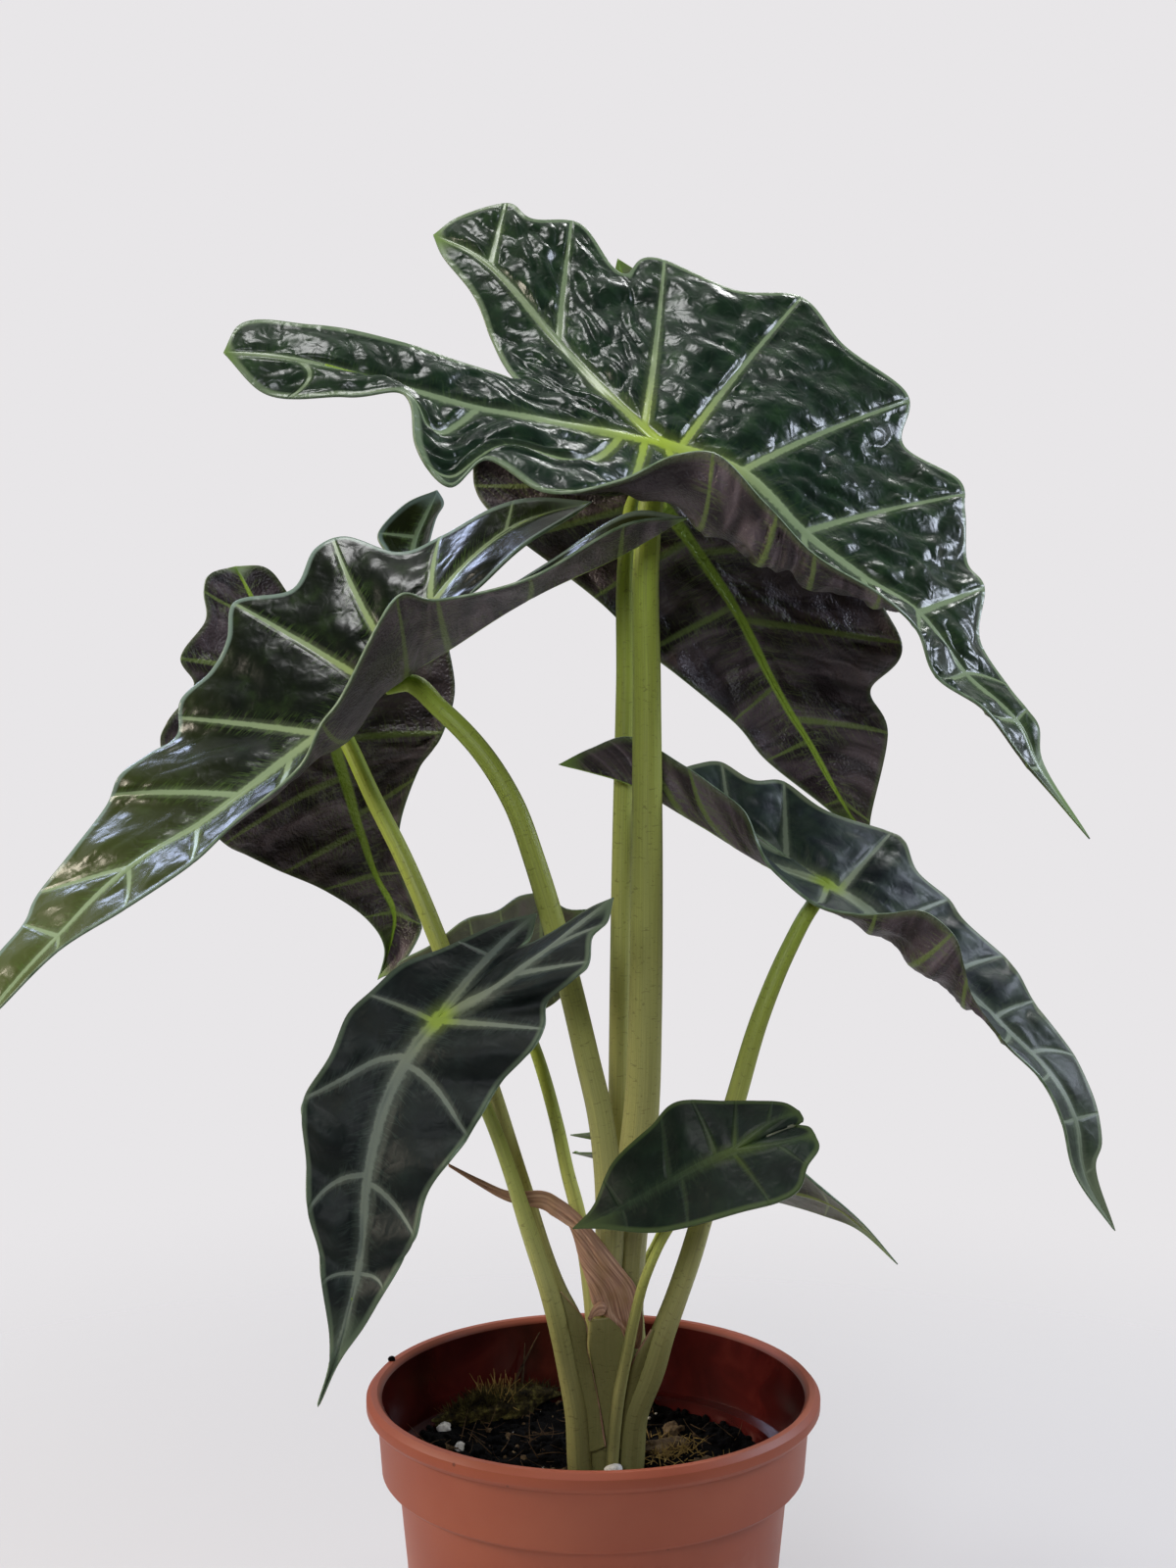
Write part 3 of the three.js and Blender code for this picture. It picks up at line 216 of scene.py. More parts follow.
# Each leaf, as measured: places are [across, up, back] in mm, the first two on a front drawing seen from the
# camera and the third behind the pot's axis. The ribs start at the stalk. Edge, fold and vein places begin
# with their number along the ribs, counted down the midrib from 0 at the stalk and up the lobe's rib, so that
# -3 is the midrib's third point. A fold gives points halfway across a blade that is rolled, and a vein runs
# from a number on the rib to one on the edge. A stalk's places end with its radius, and size scales the finer
# forms of a small leaf. Left is the leaf's own left, seen from above with its tip ahead.
leaves = {
  "crown_leaf": {
    "midrib": [
      [18, 344, -3], [39, 336.5, -6], [55, 321, -10], [70, 309.5, -13], [84, 300.5, -16],
      [96, 285, -20], [109, 273, -24], [115, 261, -27], [128, 243, -32],
    ],
    "notch": [-18, 359.5, 10],
    "left": {
      "lobe": [[3.5, 357.5, 12], [-9, 371, 24], [-25, 389, 36], [-39.5, 397, 44]],
      "outer": [
        [-7, 115.5, 264, -24], [-6.5, 115, 271.5, -22], [-6, 112, 276, -20], [-5.4, 107, 282, -14],
        [-4.8, 100, 293, -6], [-4, 101, 307, 6], [-3.2, 96.5, 314, 14], [-2.5, 96, 327, 22],
        [-2.1, 94.5, 334.5, 28], [-1.7, 81, 342.5, 30], [-1.1, 80.5, 357.5, 40],
        [-0.7, 65, 369, 40], [-0.35, 54.5, 381, 47], [0, 37, 383, 42], [0.3, 19.5, 390.5, 50],
        [0.9, 9, 387, 44], [1.7, -2.5, 400, 52], [2.3, -14, 401, 46], [3, -21, 405, 50],
        [3.6, -34, 401, 48],
      ],
      "inner": [[1, -21.5, 364, 18], [2, -25, 371, 26], [3, -30.5, 383.5, 33], [3.5, -37, 391.5, 38]],
      "veins": [
        [-7, -7], [-6, -6], [-5, -5.4], [-4, -4], [-2, -2.3], [-1, -1.2], [-0.25, -0.35],
        [0.25, 0.3], [1.9, 1.8], [3, 3],
      ],
    },
    "right": {
      "lobe": [
        [-6, 348.5, -10], [-28, 352.5, -14], [-50, 358.5, -18], [-74, 365, -21], [-93, 367, -22],
      ],
      "outer": [
        [-7, 112, 262.5, -33], [-6, 101.5, 276, -36], [-5, 89, 284.5, -36], [-4, 84, 296.5, -38],
        [-3, 74.5, 305.5, -42], [-2, 58, 315.5, -46], [-1, 45, 329, -48], [-0.4, 32, 341.5, -48],
        [0, 22.5, 341, -46], [0.6, 8, 334.5, -44], [1.3, -12, 332, -40], [1.8, -26, 340, -34],
        [2.3, -35.5, 333, -40], [2.8, -44, 344, -36], [3.1, -45, 353.5, -30], [4, -62, 356, -27],
        [4.6, -83, 357, -26],
      ],
      "fold": [
        [-7, 112.5, 261, -31], [-6, 103, 274, -31], [-5, 91.5, 283.5, -29], [-4, 84, 297, -29],
        [-3, 72.5, 302, -30], [-2, 56, 307, -32], [-1, 41, 314, -32], [-0.4, 30.5, 320, -30],
        [0, 23.5, 326, -28], [0.6, 10, 330, -26], [1.3, -5, 337.5, -26], [1.8, -20, 344.5, -24],
        [2.3, -33.5, 342, -28], [2.8, -41, 349.5, -26],
      ],
      "inner": [
        [1, -23, 361.5, 4], [2, -32.5, 364.5, -2], [3, -49, 370, -8], [4, -70.5, 374, -12],
        [4.7, -89.5, 373.5, -16],
      ],
      "veins": [
        [-7, -7], [-6, -6], [-5, -5], [-4, -4], [-3, -3], [-2, -2], [-1, -1.2], [-0.1, -0.4],
        [0.15, 1.3], [0.4, 2.6], [2, 3.3], [4, 4.4],
      ],
    },
    "stalk": [
      [7.5, 83.5, 2, 5.6], [8, 107, 0, 5.8], [9, 137, -4, 5.7], [12.5, 162, -5, 4.8],
      [14, 179.5, -5, 4.4], [14.5, 194.5, -5, 4.25], [15, 232, -5, 4], [15, 282, -5, 3.5],
      [15, 317, -6, 3.2], [16.5, 333, -6, 3], [18, 344, -3, 2.8],
    ],
  },
  "back_leaf": {
    "midrib": [
      [17, 331, 32], [28, 316, 40], [39, 299, 45], [47.5, 282, 49], [56, 268, 52], [64.5, 253, 55],
      [73, 240.5, 58],
    ],
    "notch": [1.5, 348, 44],
    "left": {
      "lobe": [[0, 343, 42], [-20.5, 360.5, 50]],
      "outer": [
        [-5, 60, 251.5, 52], [-4, 45.5, 263, 48], [-3, 37, 273, 44], [-2.2, 22.5, 285, 38],
        [-1.6, 15, 291, 40], [-1, 4, 302.5, 34], [-0.4, -10.5, 314, 38], [0.2, -21, 322.5, 34],
        [0.8, -29, 333, 42], [1.4, -27, 349.5, 44],
      ],
      "inner": [[1, -10, 357.5, 50]],
      "veins": [
        [-5, -5], [-4, -4], [-3, -3], [-1.8, -1.6], [-0.8, -0.9], [-0.1, 0], [0.4, 0.8], [1, 1.4],
      ],
    },
    "right": {
      "lobe": [[15, 351, 46], [12, 372, 56], [7.5, 391, 62]],
      "outer": [
        [-5, 72, 247.5, 54], [-4, 76.5, 270, 50], [-3, 72, 281, 54], [-2, 80, 293, 46],
        [-1.4, 73, 307, 54], [-0.8, 72, 322, 50], [0, 59.5, 339.5, 56], [1, 47.5, 359, 56],
        [2, 28, 377.5, 62],
      ],
      "inner": [[1, 2.5, 359, 50], [2, 4, 374.5, 56]],
      "veins": [[-5, -5], [-3.6, -4], [-2, -2], [-1, -0.8], [-0.1, 0.2], [1, 1], [2, 2]],
    },
    "stalk": [
      [9, 85, 9, 3.4], [8.5, 132, 12, 3.4], [8, 169.5, 12, 2.9], [8.5, 232, 13, 2.6],
      [9.5, 282, 14, 2.4], [10, 317, 16, 2.2], [11.5, 328, 20, 2.1], [14, 332, 26, 2],
      [17, 331, 32, 1.9],
    ],
  },
  "left_leaf": {
    "midrib": [
      [-47, 284, -8], [-58, 276.5, -12], [-69.5, 268.5, -17], [-86, 256, -24], [-99.5, 246, -30],
      [-117, 235.5, -37], [-135, 218, -45], [-150, 201.5, -52], [-159.5, 190.5, -57],
    ],
    "notch": [-34.5, 301, -4],
    "left": {
      "lobe": [[-35.5, 291, -12], [-15, 304, -16], [8, 315, -19], [25.5, 325, -21]],
      "outer": [
        [-7, -150.5, 199.5, -58], [-6, -135.5, 214.5, -55], [-5, -118, 225.5, -52],
        [-4, -101, 237, -48], [-3, -90.5, 247, -44], [-2, -73.5, 261.5, -44],
        [-1.2, -68, 272.5, -46], [-0.6, -62, 281, -48], [-0.2, -54, 297, -52],
        [0.2, -49, 304.5, -50], [1, -38.5, 304, -44], [2, -15, 309.5, -40], [3, 9, 323, -36],
      ],
      "fold": [
        [-6, -135, 215.5, -50], [-5, -117, 229.5, -45], [-4, -100, 240.5, -40],
        [-3, -87.5, 249, -34], [-2, -71, 261, -30], [-1.2, -63.5, 266, -28], [-0.6, -55, 276, -28],
        [-0.2, -50, 284, -30], [0.2, -45.5, 290, -30], [1, -37, 297, -32], [2, -14.5, 307, -31],
        [3, 8.5, 319.5, -30],
      ],
      "inner": [[1, -25, 304.5, -6], [2, -10, 313.5, -8], [3, 10, 326, -14]],
      "veins": [
        [-7, -7], [-6, -6], [-5, -5], [-4, -4], [-2.4, -2.6], [-0.9, -1.2], [0, 0.2], [1, 1],
        [2, 2], [3, 3],
      ],
    },
    "right": {
      "lobe": [[-40, 302, 0], [-21, 321, 6], [1, 329, 8]],
      "outer": [
        [-7, -153.5, 209, -44], [-6, -144, 221, -34], [-5, -139, 230.5, -26],
        [-4.5, -131, 240.5, -24], [-4, -123, 251, -14], [-3.4, -119.5, 259, -14],
        [-2.8, -112, 264.5, -8], [-2.2, -104.5, 270, -2], [-1.8, -104, 278, 0],
        [-1.3, -96, 286, 4], [-0.9, -92, 294, 6], [-0.6, -90.5, 303, 12], [-0.2, -75.5, 306.5, 12],
        [0.2, -69.5, 317, 18], [0.5, -62.5, 320, 20], [0.9, -49, 316, 16], [1.4, -37.5, 320, 18],
        [1.9, -25, 327, 12], [2.5, -13, 330, 10],
      ],
      "inner": [[1, -27, 308, -8], [2, -14, 319.5, -6], [2.5, -4, 325.5, 0]],
      "veins": [
        [-7, -7], [-6, -6], [-5, -5.1], [-3.2, -3.8], [-1.9, -2], [-0.5, -0.6], [0, 0.4], [1, 1.4],
        [2, 2.2],
      ],
    },
    "stalk": [
      [3, 83, -5, 3.6], [3, 107, -8, 3.6], [4.5, 127, -11, 3.6], [5.5, 142.5, -13, 3.6],
      [5, 157, -14, 3.4], [3, 173, -15, 3.2], [0, 186, -16, 3.1], [-4.5, 205, -17, 3],
      [-9, 222, -18, 2.9], [-13.5, 237, -18, 2.7], [-19, 252, -17, 2.6], [-27, 265, -15, 2.5],
      [-37.5, 276, -12, 2.4], [-47, 284, -8, 2.2],
    ],
  },
  "left_back_leaf": {
    "midrib": [
      [-65.5, 275, 24], [-64, 265, 31], [-60.5, 253, 36], [-58, 245, 39], [-54, 234, 42],
      [-49.5, 224.5, 44], [-50, 218, 45], [-53.5, 207, 46],
    ],
    "notch": [-64.5, 286.5, 36],
    "left": {
      "lobe": [[-74, 287, 32], [-83, 299.5, 38], [-90, 312.5, 42]],
      "outer": [
        [-6, -52, 215.5, 42], [-5, -57, 223, 42], [-4, -67.5, 230, 40], [-3, -80, 235.5, 38],
        [-2.4, -87, 239, 36], [-1.8, -94, 243, 30], [-1.2, -103.5, 255, 24],
        [-0.6, -109, 266.5, 22], [-0.1, -107.5, 272.5, 20], [0.4, -100.5, 282, 26],
        [0.9, -104, 289, 24], [1.5, -97.5, 299, 30], [2, -98, 306, 32], [2.5, -96.5, 310.5, 34],
      ],
      "inner": [[1, -70.5, 291, 38], [2, -77, 306, 44], [2.6, -83, 312.5, 42]],
      "veins": [[-5, -5], [-4, -4], [-3, -3.2], [-1.5, -1.9], [-0.3, -0.6], [0.8, 0.9], [1.8, 2]],
    },
    "right": {
      "lobe": [[-53, 289, 38], [-47, 307, 46], [-44, 320, 50], [-38.5, 332, 52]],
      "outer": [
        [-6, -47.5, 211, 40], [-5.4, -43.5, 217.5, 38], [-4.6, -43, 223, 42],
        [-4, -47.5, 234.5, 36], [-3, -48, 246.5, 34], [-2, -43, 261, 32], [-1, -37, 270, 30],
        [-0.4, -34, 280, 36], [0.2, -35.5, 291.5, 40], [1, -38.5, 302, 44], [1.8, -45, 312, 40],
        [2.6, -52, 317, 44], [3, -53.5, 321, 46], [3.5, -46.5, 328.5, 48],
      ],
      "inner": [[1, -57, 290, 46], [2, -45, 305.5, 56], [3, -39, 324.5, 58], [3.7, -37, 329.5, 56]],
      "veins": [[-5, -4.8], [-4, -4], [-2.5, -2.2], [-0.7, -1], [0.4, 0.2], [1.5, 1.8], [3, 3]],
    },
    "stalk": [
      [1.5, 85, 5, 3.1], [0, 97, 6, 3.1], [-2, 107, 7, 3.2], [-4.5, 119.5, 8, 3.4],
      [-8, 127.5, 8, 2.9], [-17.5, 155.5, 6, 2.7], [-24.5, 178, 2, 2.5], [-37, 214, 0, 2.4],
      [-47, 238, 6, 2.3], [-55, 254, 12, 2.2], [-61.5, 268, 18, 2.1], [-65.5, 275, 24, 2],
    ],
  },
  "right_leaf": {
    "midrib": [
      [61, 231, 0], [71, 224.5, -4], [84, 214, -8], [97, 203, -12], [107.5, 193, -15],
      [117.5, 183, -18], [124, 171.5, -20], [126.5, 157.5, -21], [134.5, 143, -22],
    ],
    "notch": [50.5, 238.5, 4],
    "left": {
      "lobe": [[49.5, 238, 12], [36, 249, 20], [24, 261, 24]],
      "outer": [
        [-7, 129.5, 159.5, -20], [-6.4, 131, 166, -17], [-6, 130, 173, -14],
        [-5.4, 127, 181.5, -10], [-5, 124, 187.5, -6], [-4.4, 117, 197, -6], [-4, 113.5, 201.5, 0],
        [-3.5, 109.5, 209, -2], [-3, 106, 213, 6], [-2.5, 96.5, 221.5, 4], [-2, 92, 227.5, 12],
        [-1.5, 84, 234.5, 10], [-1, 81, 242, 16], [-0.4, 76, 245, 22], [0.2, 61, 250, 18],
        [0.8, 50, 257.5, 28], [1.4, 42, 258, 24], [2, 34, 262.5, 28], [2.6, 27.5, 262, 26],
      ],
      "inner": [[1, 46.5, 241.5, 8], [2, 32, 252.5, 12], [2.5, 26.5, 259, 18]],
      "veins": [
        [-7, -7], [-6, -6], [-4.5, -5], [-3.6, -4], [-2.6, -3], [-1.5, -2], [-0.3, -0.5],
        [0.9, 0.8], [2, 2],
      ],
    },
    "right": {
      "lobe": [[44, 237, 2], [26.5, 247.5, 4], [10, 256.5, 6.5], [-7.5, 262, 8]],
      "outer": [
        [-7, 124.5, 157, -25], [-6, 121, 171, -27], [-5, 115.5, 182, -28], [-4, 105, 193, -30],
        [-3.4, 97.5, 204, -32], [-3, 96, 210.5, -33], [-2.4, 93, 219, -33], [-2, 87, 224, -32],
        [-1.3, 76, 224, -28], [-0.6, 67.5, 224, -24], [0, 57, 227, -18], [0.5, 46.5, 236, -12],
        [1, 43.5, 241.5, -7], [1.5, 40, 250, -5], [2, 32, 256.5, -4], [2.5, 24, 262, -1],
        [3, 11, 269, 3], [3.5, 0.5, 266, 5],
      ],
      "fold": [
        [-5, 116, 181.5, -24], [-4, 106, 191, -26], [-3.4, 98.5, 198, -27], [-3, 95, 201, -27],
        [-2.4, 86.5, 207, -26], [-2, 81.5, 212.5, -24], [-1.3, 74, 217.5, -20],
        [-0.6, 67, 221.5, -16], [0, 59, 226.5, -12], [0.5, 51.5, 231.5, -8], [1, 44, 238, -4],
        [1.5, 37, 244, -2],
      ],
      "inner": [[1, 45.5, 241.5, 6], [2, 28, 252.5, 10], [3, 10.5, 263, 9], [3.5, 1, 261.5, 9]],
      "veins": [
        [-6, -6], [-5, -5], [-4, -4], [-3, -3.2], [-1.9, -2.4], [-1, -1.1], [0, 0], [1.3, 2.4],
        [2, 3],
      ],
    },
    "stalk": [
      [10.5, 83, -4, 3.8], [12, 97, -6, 3.6], [16, 107, -7, 3.5], [19, 116.5, -8, 3.15],
      [22, 124.5, -8, 2.9], [26, 136, -8, 2.85], [29, 146, -8, 2.75], [37.5, 176, -7, 2.6],
      [44.5, 199, -6, 2.3], [51, 214.5, -4, 2.1], [57, 225.5, -2, 1.95], [61, 231, 0, 1.9],
    ],
  },
  "front_leaf": {
    "midrib": [
      [-38, 197, -44], [-46, 186.5, -49], [-52, 174, -54], [-56, 157, -58], [-57.5, 139, -60],
      [-60, 126, -61], [-63.5, 113.5, -61], [-69, 98, -60],
    ],
    "notch": [-17, 215.5, -30],
    "left": {
      "lobe": [[-24.5, 204.5, -45], [-10, 215, -44], [6.5, 228, -41]],
      "outer": [
        [-6, -63, 110.5, -62], [-5.4, -56.5, 119.5, -63], [-5, -52, 127.5, -66],
        [-4.5, -47, 136, -64], [-4, -44, 141.5, -68], [-3.5, -41.5, 151.5, -64],
        [-3, -36, 160, -66], [-2.4, -30.5, 167, -60], [-2, -27.5, 172, -60], [-1.4, -22, 181, -54],
        [-0.8, -14, 189.5, -56], [-0.3, -11, 195.5, -52], [0.2, -10.5, 201, -48],
        [0.9, -2.5, 208, -52], [1.6, 0.5, 212.5, -50], [2, 1, 218, -46], [2.5, 5, 222, -44],
      ],
      "inner": [[1, -13, 217, -32], [2, -6, 221, -34], [2.5, 1, 225.5, -36]],
      "veins": [[-6, -6], [-4.5, -5], [-3.1, -4], [-1.1, -2.4], [-0.05, -0.4], [1.4, 1.5], [2, 2.4]],
    },
    "right": {
      "lobe": [[-25, 213, -30], [-13, 224, -16]],
      "outer": [
        [-6, -66, 109.5, -62], [-5.5, -66, 117, -60], [-5, -68, 129.5, -62],
        [-4.4, -69, 139.5, -58], [-4, -71.5, 148, -60], [-3.4, -72, 163, -54],
        [-3, -73, 171.5, -56], [-2.4, -72, 178, -50], [-1.8, -66, 187.5, -50],
        [-1.2, -61.5, 198, -42], [-0.6, -55, 204.5, -42], [0, -47.5, 211, -36],
        [0.6, -37, 215, -28], [1.4, -21, 222, -18],
      ],
      "inner": [[1.4, -14, 219.5, -22]],
      "veins": [[-6, -6], [-4.5, -5], [-3, -4], [-0.95, -2.5], [-0.1, -0.7], [1, 0.8]],
    },
    "stalk": [
      [-2, 82.5, -8, 3.2], [-3, 97, -11, 3], [-5, 107, -13, 2.7], [-9.5, 126, -21, 2.4],
      [-15.5, 144.5, -25, 2.1], [-19.5, 157, -28, 1.8], [-23, 167, -31, 1.7],
      [-27, 176.5, -35, 1.6], [-32.5, 187.5, -39, 1.6], [-38, 197, -44, 1.6],
    ],
    "matte": True,
  },
  "front_small_leaf": {
    "midrib": [
      [37.5, 163.5, -46], [29.5, 160, -46], [21, 155.5, -45], [12, 150.5, -43], [4, 146.5, -41],
      [-4, 143.5, -38],
    ],
    "notch": [53, 170, -41],
    "left": {
      "lobe": [[48, 165, -47], [58, 167.5, -45]],
      "outer": [
        [-4, 3, 143.5, -42], [-3, 15.5, 142.5, -48], [-2, 25.5, 144, -53], [-1, 39.5, 148, -56],
        [-0.3, 49, 150.5, -56], [0.5, 54.5, 154.5, -54], [1, 56, 159.5, -52], [1.5, 59, 164, -48],
      ],
      "inner": [[1.4, 57, 169, -43]],
      "veins": [[-3.4, -3.4], [-1.7, -2], [-0.1, -0.5], [1, 1]],
    },
    "right": {
      "lobe": [[46, 170, -42], [54, 173.5, -38]],
      "outer": [
        [-4, 1.5, 149.5, -36], [-3, 6.5, 160.5, -32], [-2, 16, 169.5, -30], [-1, 23.5, 176, -30],
        [-0.3, 34.5, 176, -31], [0.6, 43, 176, -33], [1.4, 50.5, 175.5, -36],
      ],
      "inner": [[1.3, 55, 171.5, -40]],
      "veins": [[-3.4, -3.4], [-2, -1.6], [-0.6, -0.8], [0, 0], [1, 1]],
    },
    "stalk": [
      [6, 82, -9, 1.7], [8, 102, -13, 1.6], [10, 112, -16, 1.5], [12, 121.5, -21, 1.35],
      [15, 132, -30, 1.2], [20, 142.5, -36, 1.1], [29, 154, -42, 1.1], [37.5, 163.5, -46, 1.1],
    ],
    "size": 0.5,
    "matte": True,
  },
  "back_small_leaf": {
    "midrib": [
      [25, 159.5, 40], [38, 157, 41], [50, 153.5, 42], [61.5, 150, 43], [71, 143, 43],
      [79, 134.5, 44],
    ],
    "notch": [14, 163, 40],
    "left": {
      "lobe": [[10, 162, 42], [-4, 163, 44]],
      "outer": [
        [-4, 69.5, 143, 46], [-3, 60.5, 147, 50], [-2, 49, 150.5, 56], [-1, 36, 153.5, 60],
        [0, 22.5, 156, 60], [1, 10, 159.5, 54],
      ],
      "inner": [[1, 10, 163, 41]],
      "veins": [[-4, -4], [-3, -3], [-2, -2], [-1, -1], [0, 0], [1, 1]],
    },
    "right": {
      "lobe": [[10, 165, 38], [-4.5, 167.5, 36]],
      "outer": [
        [-4, 70, 145, 40], [-3, 59.5, 154, 36], [-2, 50, 161.5, 30], [-1, 36, 167.5, 26],
        [0, 22.5, 169.5, 26], [1, 10, 169, 30],
      ],
      "inner": [[1, 10, 164.5, 39]],
      "veins": [[-4, -4], [-3, -3], [-2, -2], [-1, -1], [0, 0], [1, 1]],
    },
    "stalk": [
      [12.5, 86, 8, 1.6], [13.5, 112, 17, 1.3], [14, 134, 28, 0.95], [17, 140, 33, 0.8],
      [21, 149, 38, 0.8], [25, 159.5, 40, 0.9],
    ],
    "size": 0.6,
  },
  "young_leaf": {
    "midrib": [[-19.5, 205.5, 12], [-27, 206, 13], [-34.5, 207, 14], [-42, 208, 14], [-49, 210, 13]],
    "notch": [-11, 211, 14],
    "left": {
      "lobe": [[-12, 214, 13], [-0.5, 224, 14], [6, 226.5, 15]],
      "outer": [
        [-3, -47.5, 212, 10], [-2, -39, 216.5, 8], [-1.2, -32, 222, 7], [0, -22.5, 225, 7],
        [0.6, -17, 228.5, 7], [1, -12, 229, 8], [1.6, -5, 225, 10], [2, 0.5, 225, 12],
      ],
      "inner": [[1, -7.5, 216.5, 15], [2, 0.5, 221, 16]],
      "veins": [[-3, -3], [-2, -2], [-1, -1], [0, 0], [1, 1], [2, 2]],
    },
    "right": {
      "lobe": [[-10, 206.5, 15], [0, 211, 17]],
      "outer": [
        [-3, -43, 206.5, 17], [-2, -35.5, 202.5, 20], [-1, -27, 199.5, 22], [0, -17.5, 198, 22],
        [1, -8.5, 201.5, 21],
      ],
      "inner": [[1, -7, 211, 15]],
      "veins": [[-3, -3], [-2, -2], [-1, -1], [0, 0], [1, 1]],
    },
    "stalk": [
      [2, 84.5, -1, 2.3], [2, 107, 0, 2.2], [1, 124.5, 1, 2.1], [-1, 139.5, 2, 2],
      [-3, 149.5, 3, 1.9], [-5, 157, 4, 1.8], [-8, 170.5, 6, 1.7], [-13, 188, 9, 1.6],
      [-17, 198.5, 11, 1.4], [-19.5, 205.5, 12, 1.3],
    ],
    "size": 0.5,
  },
}


def place(spot):
    # from a place on the drawing to one in the room, in mm
    across, up, back = spot[:3]
    sheet = 577.75  # mm from the camera to the drawing
    rise = (up - 257) / sheet  # the line of sight meets the drawing 257 mm up
    dip = studio["dip"]
    eye = studio["eye"]
    run = (back - eye[1]) / (math.cos(dip) + rise * math.sin(dip))
    return np.array(
        (eye[0] + run * across / sheet, back, eye[2] + run * (rise * math.cos(dip) - math.sin(dip)))
    )


def along(knots, numbers):
    # a smooth curve through knots (number, point), with each knot's slope taken from the spans beside it
    numbers = np.asarray(numbers, float)
    at = np.array([k[0] for k in knots], float)
    points = np.array([k[1] for k in knots], float)
    span = np.diff(at)
    pace = np.diff(points, axis=0) / span[:, None]
    before, after = span[:-1, None], span[1:, None]
    middle = (pace[:-1] * after + pace[1:] * before) / (before + after)
    slope = np.concatenate([pace[:1], middle, pace[-1:]])
    k = np.clip(np.searchsorted(at, numbers, side="right") - 1, 0, len(span) - 1)
    s = np.clip((numbers - at[k]) / span[k], 0, 1)[..., None]
    t = 1 - s
    width = span[k][..., None]
    return (
        points[k] * t * t * (1 + 2 * s)
        + points[k + 1] * s * s * (3 - 2 * s)
        + slope[k] * width * s * t * t
        - slope[k + 1] * width * s * s * t
    )


def distancesAlong(points):
    # how far each point is along the line through them
    return np.concatenate([[0], np.cumsum(np.linalg.norm(np.diff(points, axis=0), axis=1))])


def numbered(points):
    return [(i, place(p)) for i, p in enumerate(points)]


def measured(edge):
    return [(number, place(p)) for number, *p in edge]


def ramp(values, low, high):
    t = np.clip((values - low) / (high - low), 0, 1)
    return t * t * (3 - 2 * t)


def lumps(points, size, seed=0.0):
    # smooth noise from -1 to 1 at each point, its lumps about size across
    shift = Vector((seed * 7.3, seed * 3.1, seed * 5.7))
    flat = np.asarray(points, float).reshape(-1, 3)
    values = [noise.noise(Vector(p) / size + shift) for p in flat]
    return np.array(values).reshape(np.asarray(points).shape[:-1])


def cornersOf(mesh):
    # the point that each corner of the faces lies on
    corners = np.empty(len(mesh.loops), int)
    mesh.loops.foreach_get("vertex_index", corners)
    return corners


def writeField(mesh, key, values):
    layer = mesh.attributes.new(key, "FLOAT", "POINT")
    layer.data.foreach_set("value", np.asarray(values, np.float32).ravel())


def sheetPiece(name, points, fields=None, uv=None, turned=False):
    # a grid laid through rows of points in mm, with a value for each point of each named field
    fields = fields or {}
    if turned:
        points = points[:, ::-1]
        fields = {key: values[:, ::-1] for key, values in fields.items()}
        uv = None if uv is None else uv[:, ::-1]
    rows, columns = points.shape[:2]
    deselect()
    bpy.ops.mesh.primitive_grid_add(x_subdivisions=columns - 1, y_subdivisions=rows - 1, size=1)
    piece = bpy.context.object
    piece.name = piece.data.name = name
    mesh = piece.data
    mesh.vertices.foreach_set("co", (np.asarray(points, np.float32) * mm).ravel())
    for key, values in fields.items():
        writeField(mesh, key, values)
    if uv is not None:
        spots = np.asarray(uv, np.float32).reshape(-1, 2)[cornersOf(mesh)]
        mesh.uv_layers.active.data.foreach_set("uv", spots.ravel())
    mesh.update()
    return piece


def joined(pieces, name, merge=0.01):
    pick(*pieces)
    if len(pieces) > 1:
        bpy.ops.object.join()
    whole = bpy.context.object
    whole.name = whole.data.name = name
    bpy.ops.object.mode_set(mode="EDIT")
    bpy.ops.mesh.select_all(action="SELECT")
    bpy.ops.mesh.remove_doubles(threshold=merge * mm)
    bpy.ops.object.mode_set(mode="OBJECT")
    return whole


def applied(piece, kind, **settings):
    modifier = piece.modifiers.new(kind.lower(), kind)
    for key, value in settings.items():
        setattr(modifier, key, value)
    pick(piece)
    bpy.ops.object.modifier_apply(modifier=modifier.name)
    return piece


def readField(mesh, key):
    values = np.empty(len(mesh.vertices), np.float32)
    mesh.attributes[key].data.foreach_get("value", values)
    return values


def readPlaces(mesh, what="co"):
    spots = np.empty(len(mesh.vertices) * 3, np.float32)
    source = mesh.vertices if what == "co" else mesh.vertex_normals
    source.foreach_get("co" if what == "co" else "vector", spots)
    return spots.reshape(-1, 3)


def foldedness(mesh):
    # 1 where the sheet is flat, less where it is folded sharply
    normals = readPlaces(mesh, "normals")
    faces = np.empty(len(mesh.polygons) * 3, np.float32)
    mesh.polygon_normals.foreach_get("vector", faces)
    corners = cornersOf(mesh)
    owner = np.repeat(np.arange(len(mesh.polygons)), [len(p.vertices) for p in mesh.polygons])
    agree = (faces.reshape(-1, 3)[owner] * normals[corners]).sum(1)
    least = np.ones(len(normals), np.float32)
    np.minimum.at(least, corners, agree)
    for a, b in [edge.vertices for edge in mesh.edges]:
        least[a] = least[b] = min(least[a], least[b])
    return least


def thickened(piece, thickness):
    # gives the sheet its thickness below, as much at each point as the field says in mm
    most = float(thickness.max())
    group = piece.vertex_groups.new(name="thickness")
    for index, value in enumerate(thickness):
        group.add([index], float(value) / most, "REPLACE")
    applied(
        piece,
        "SOLIDIFY",
        thickness=most * mm,
        offset=-1,
        vertex_group="thickness",
        use_even_offset=False,
        material_offset=1,
        material_offset_rim=2,
    )
    piece.vertex_groups.clear()
    return piece


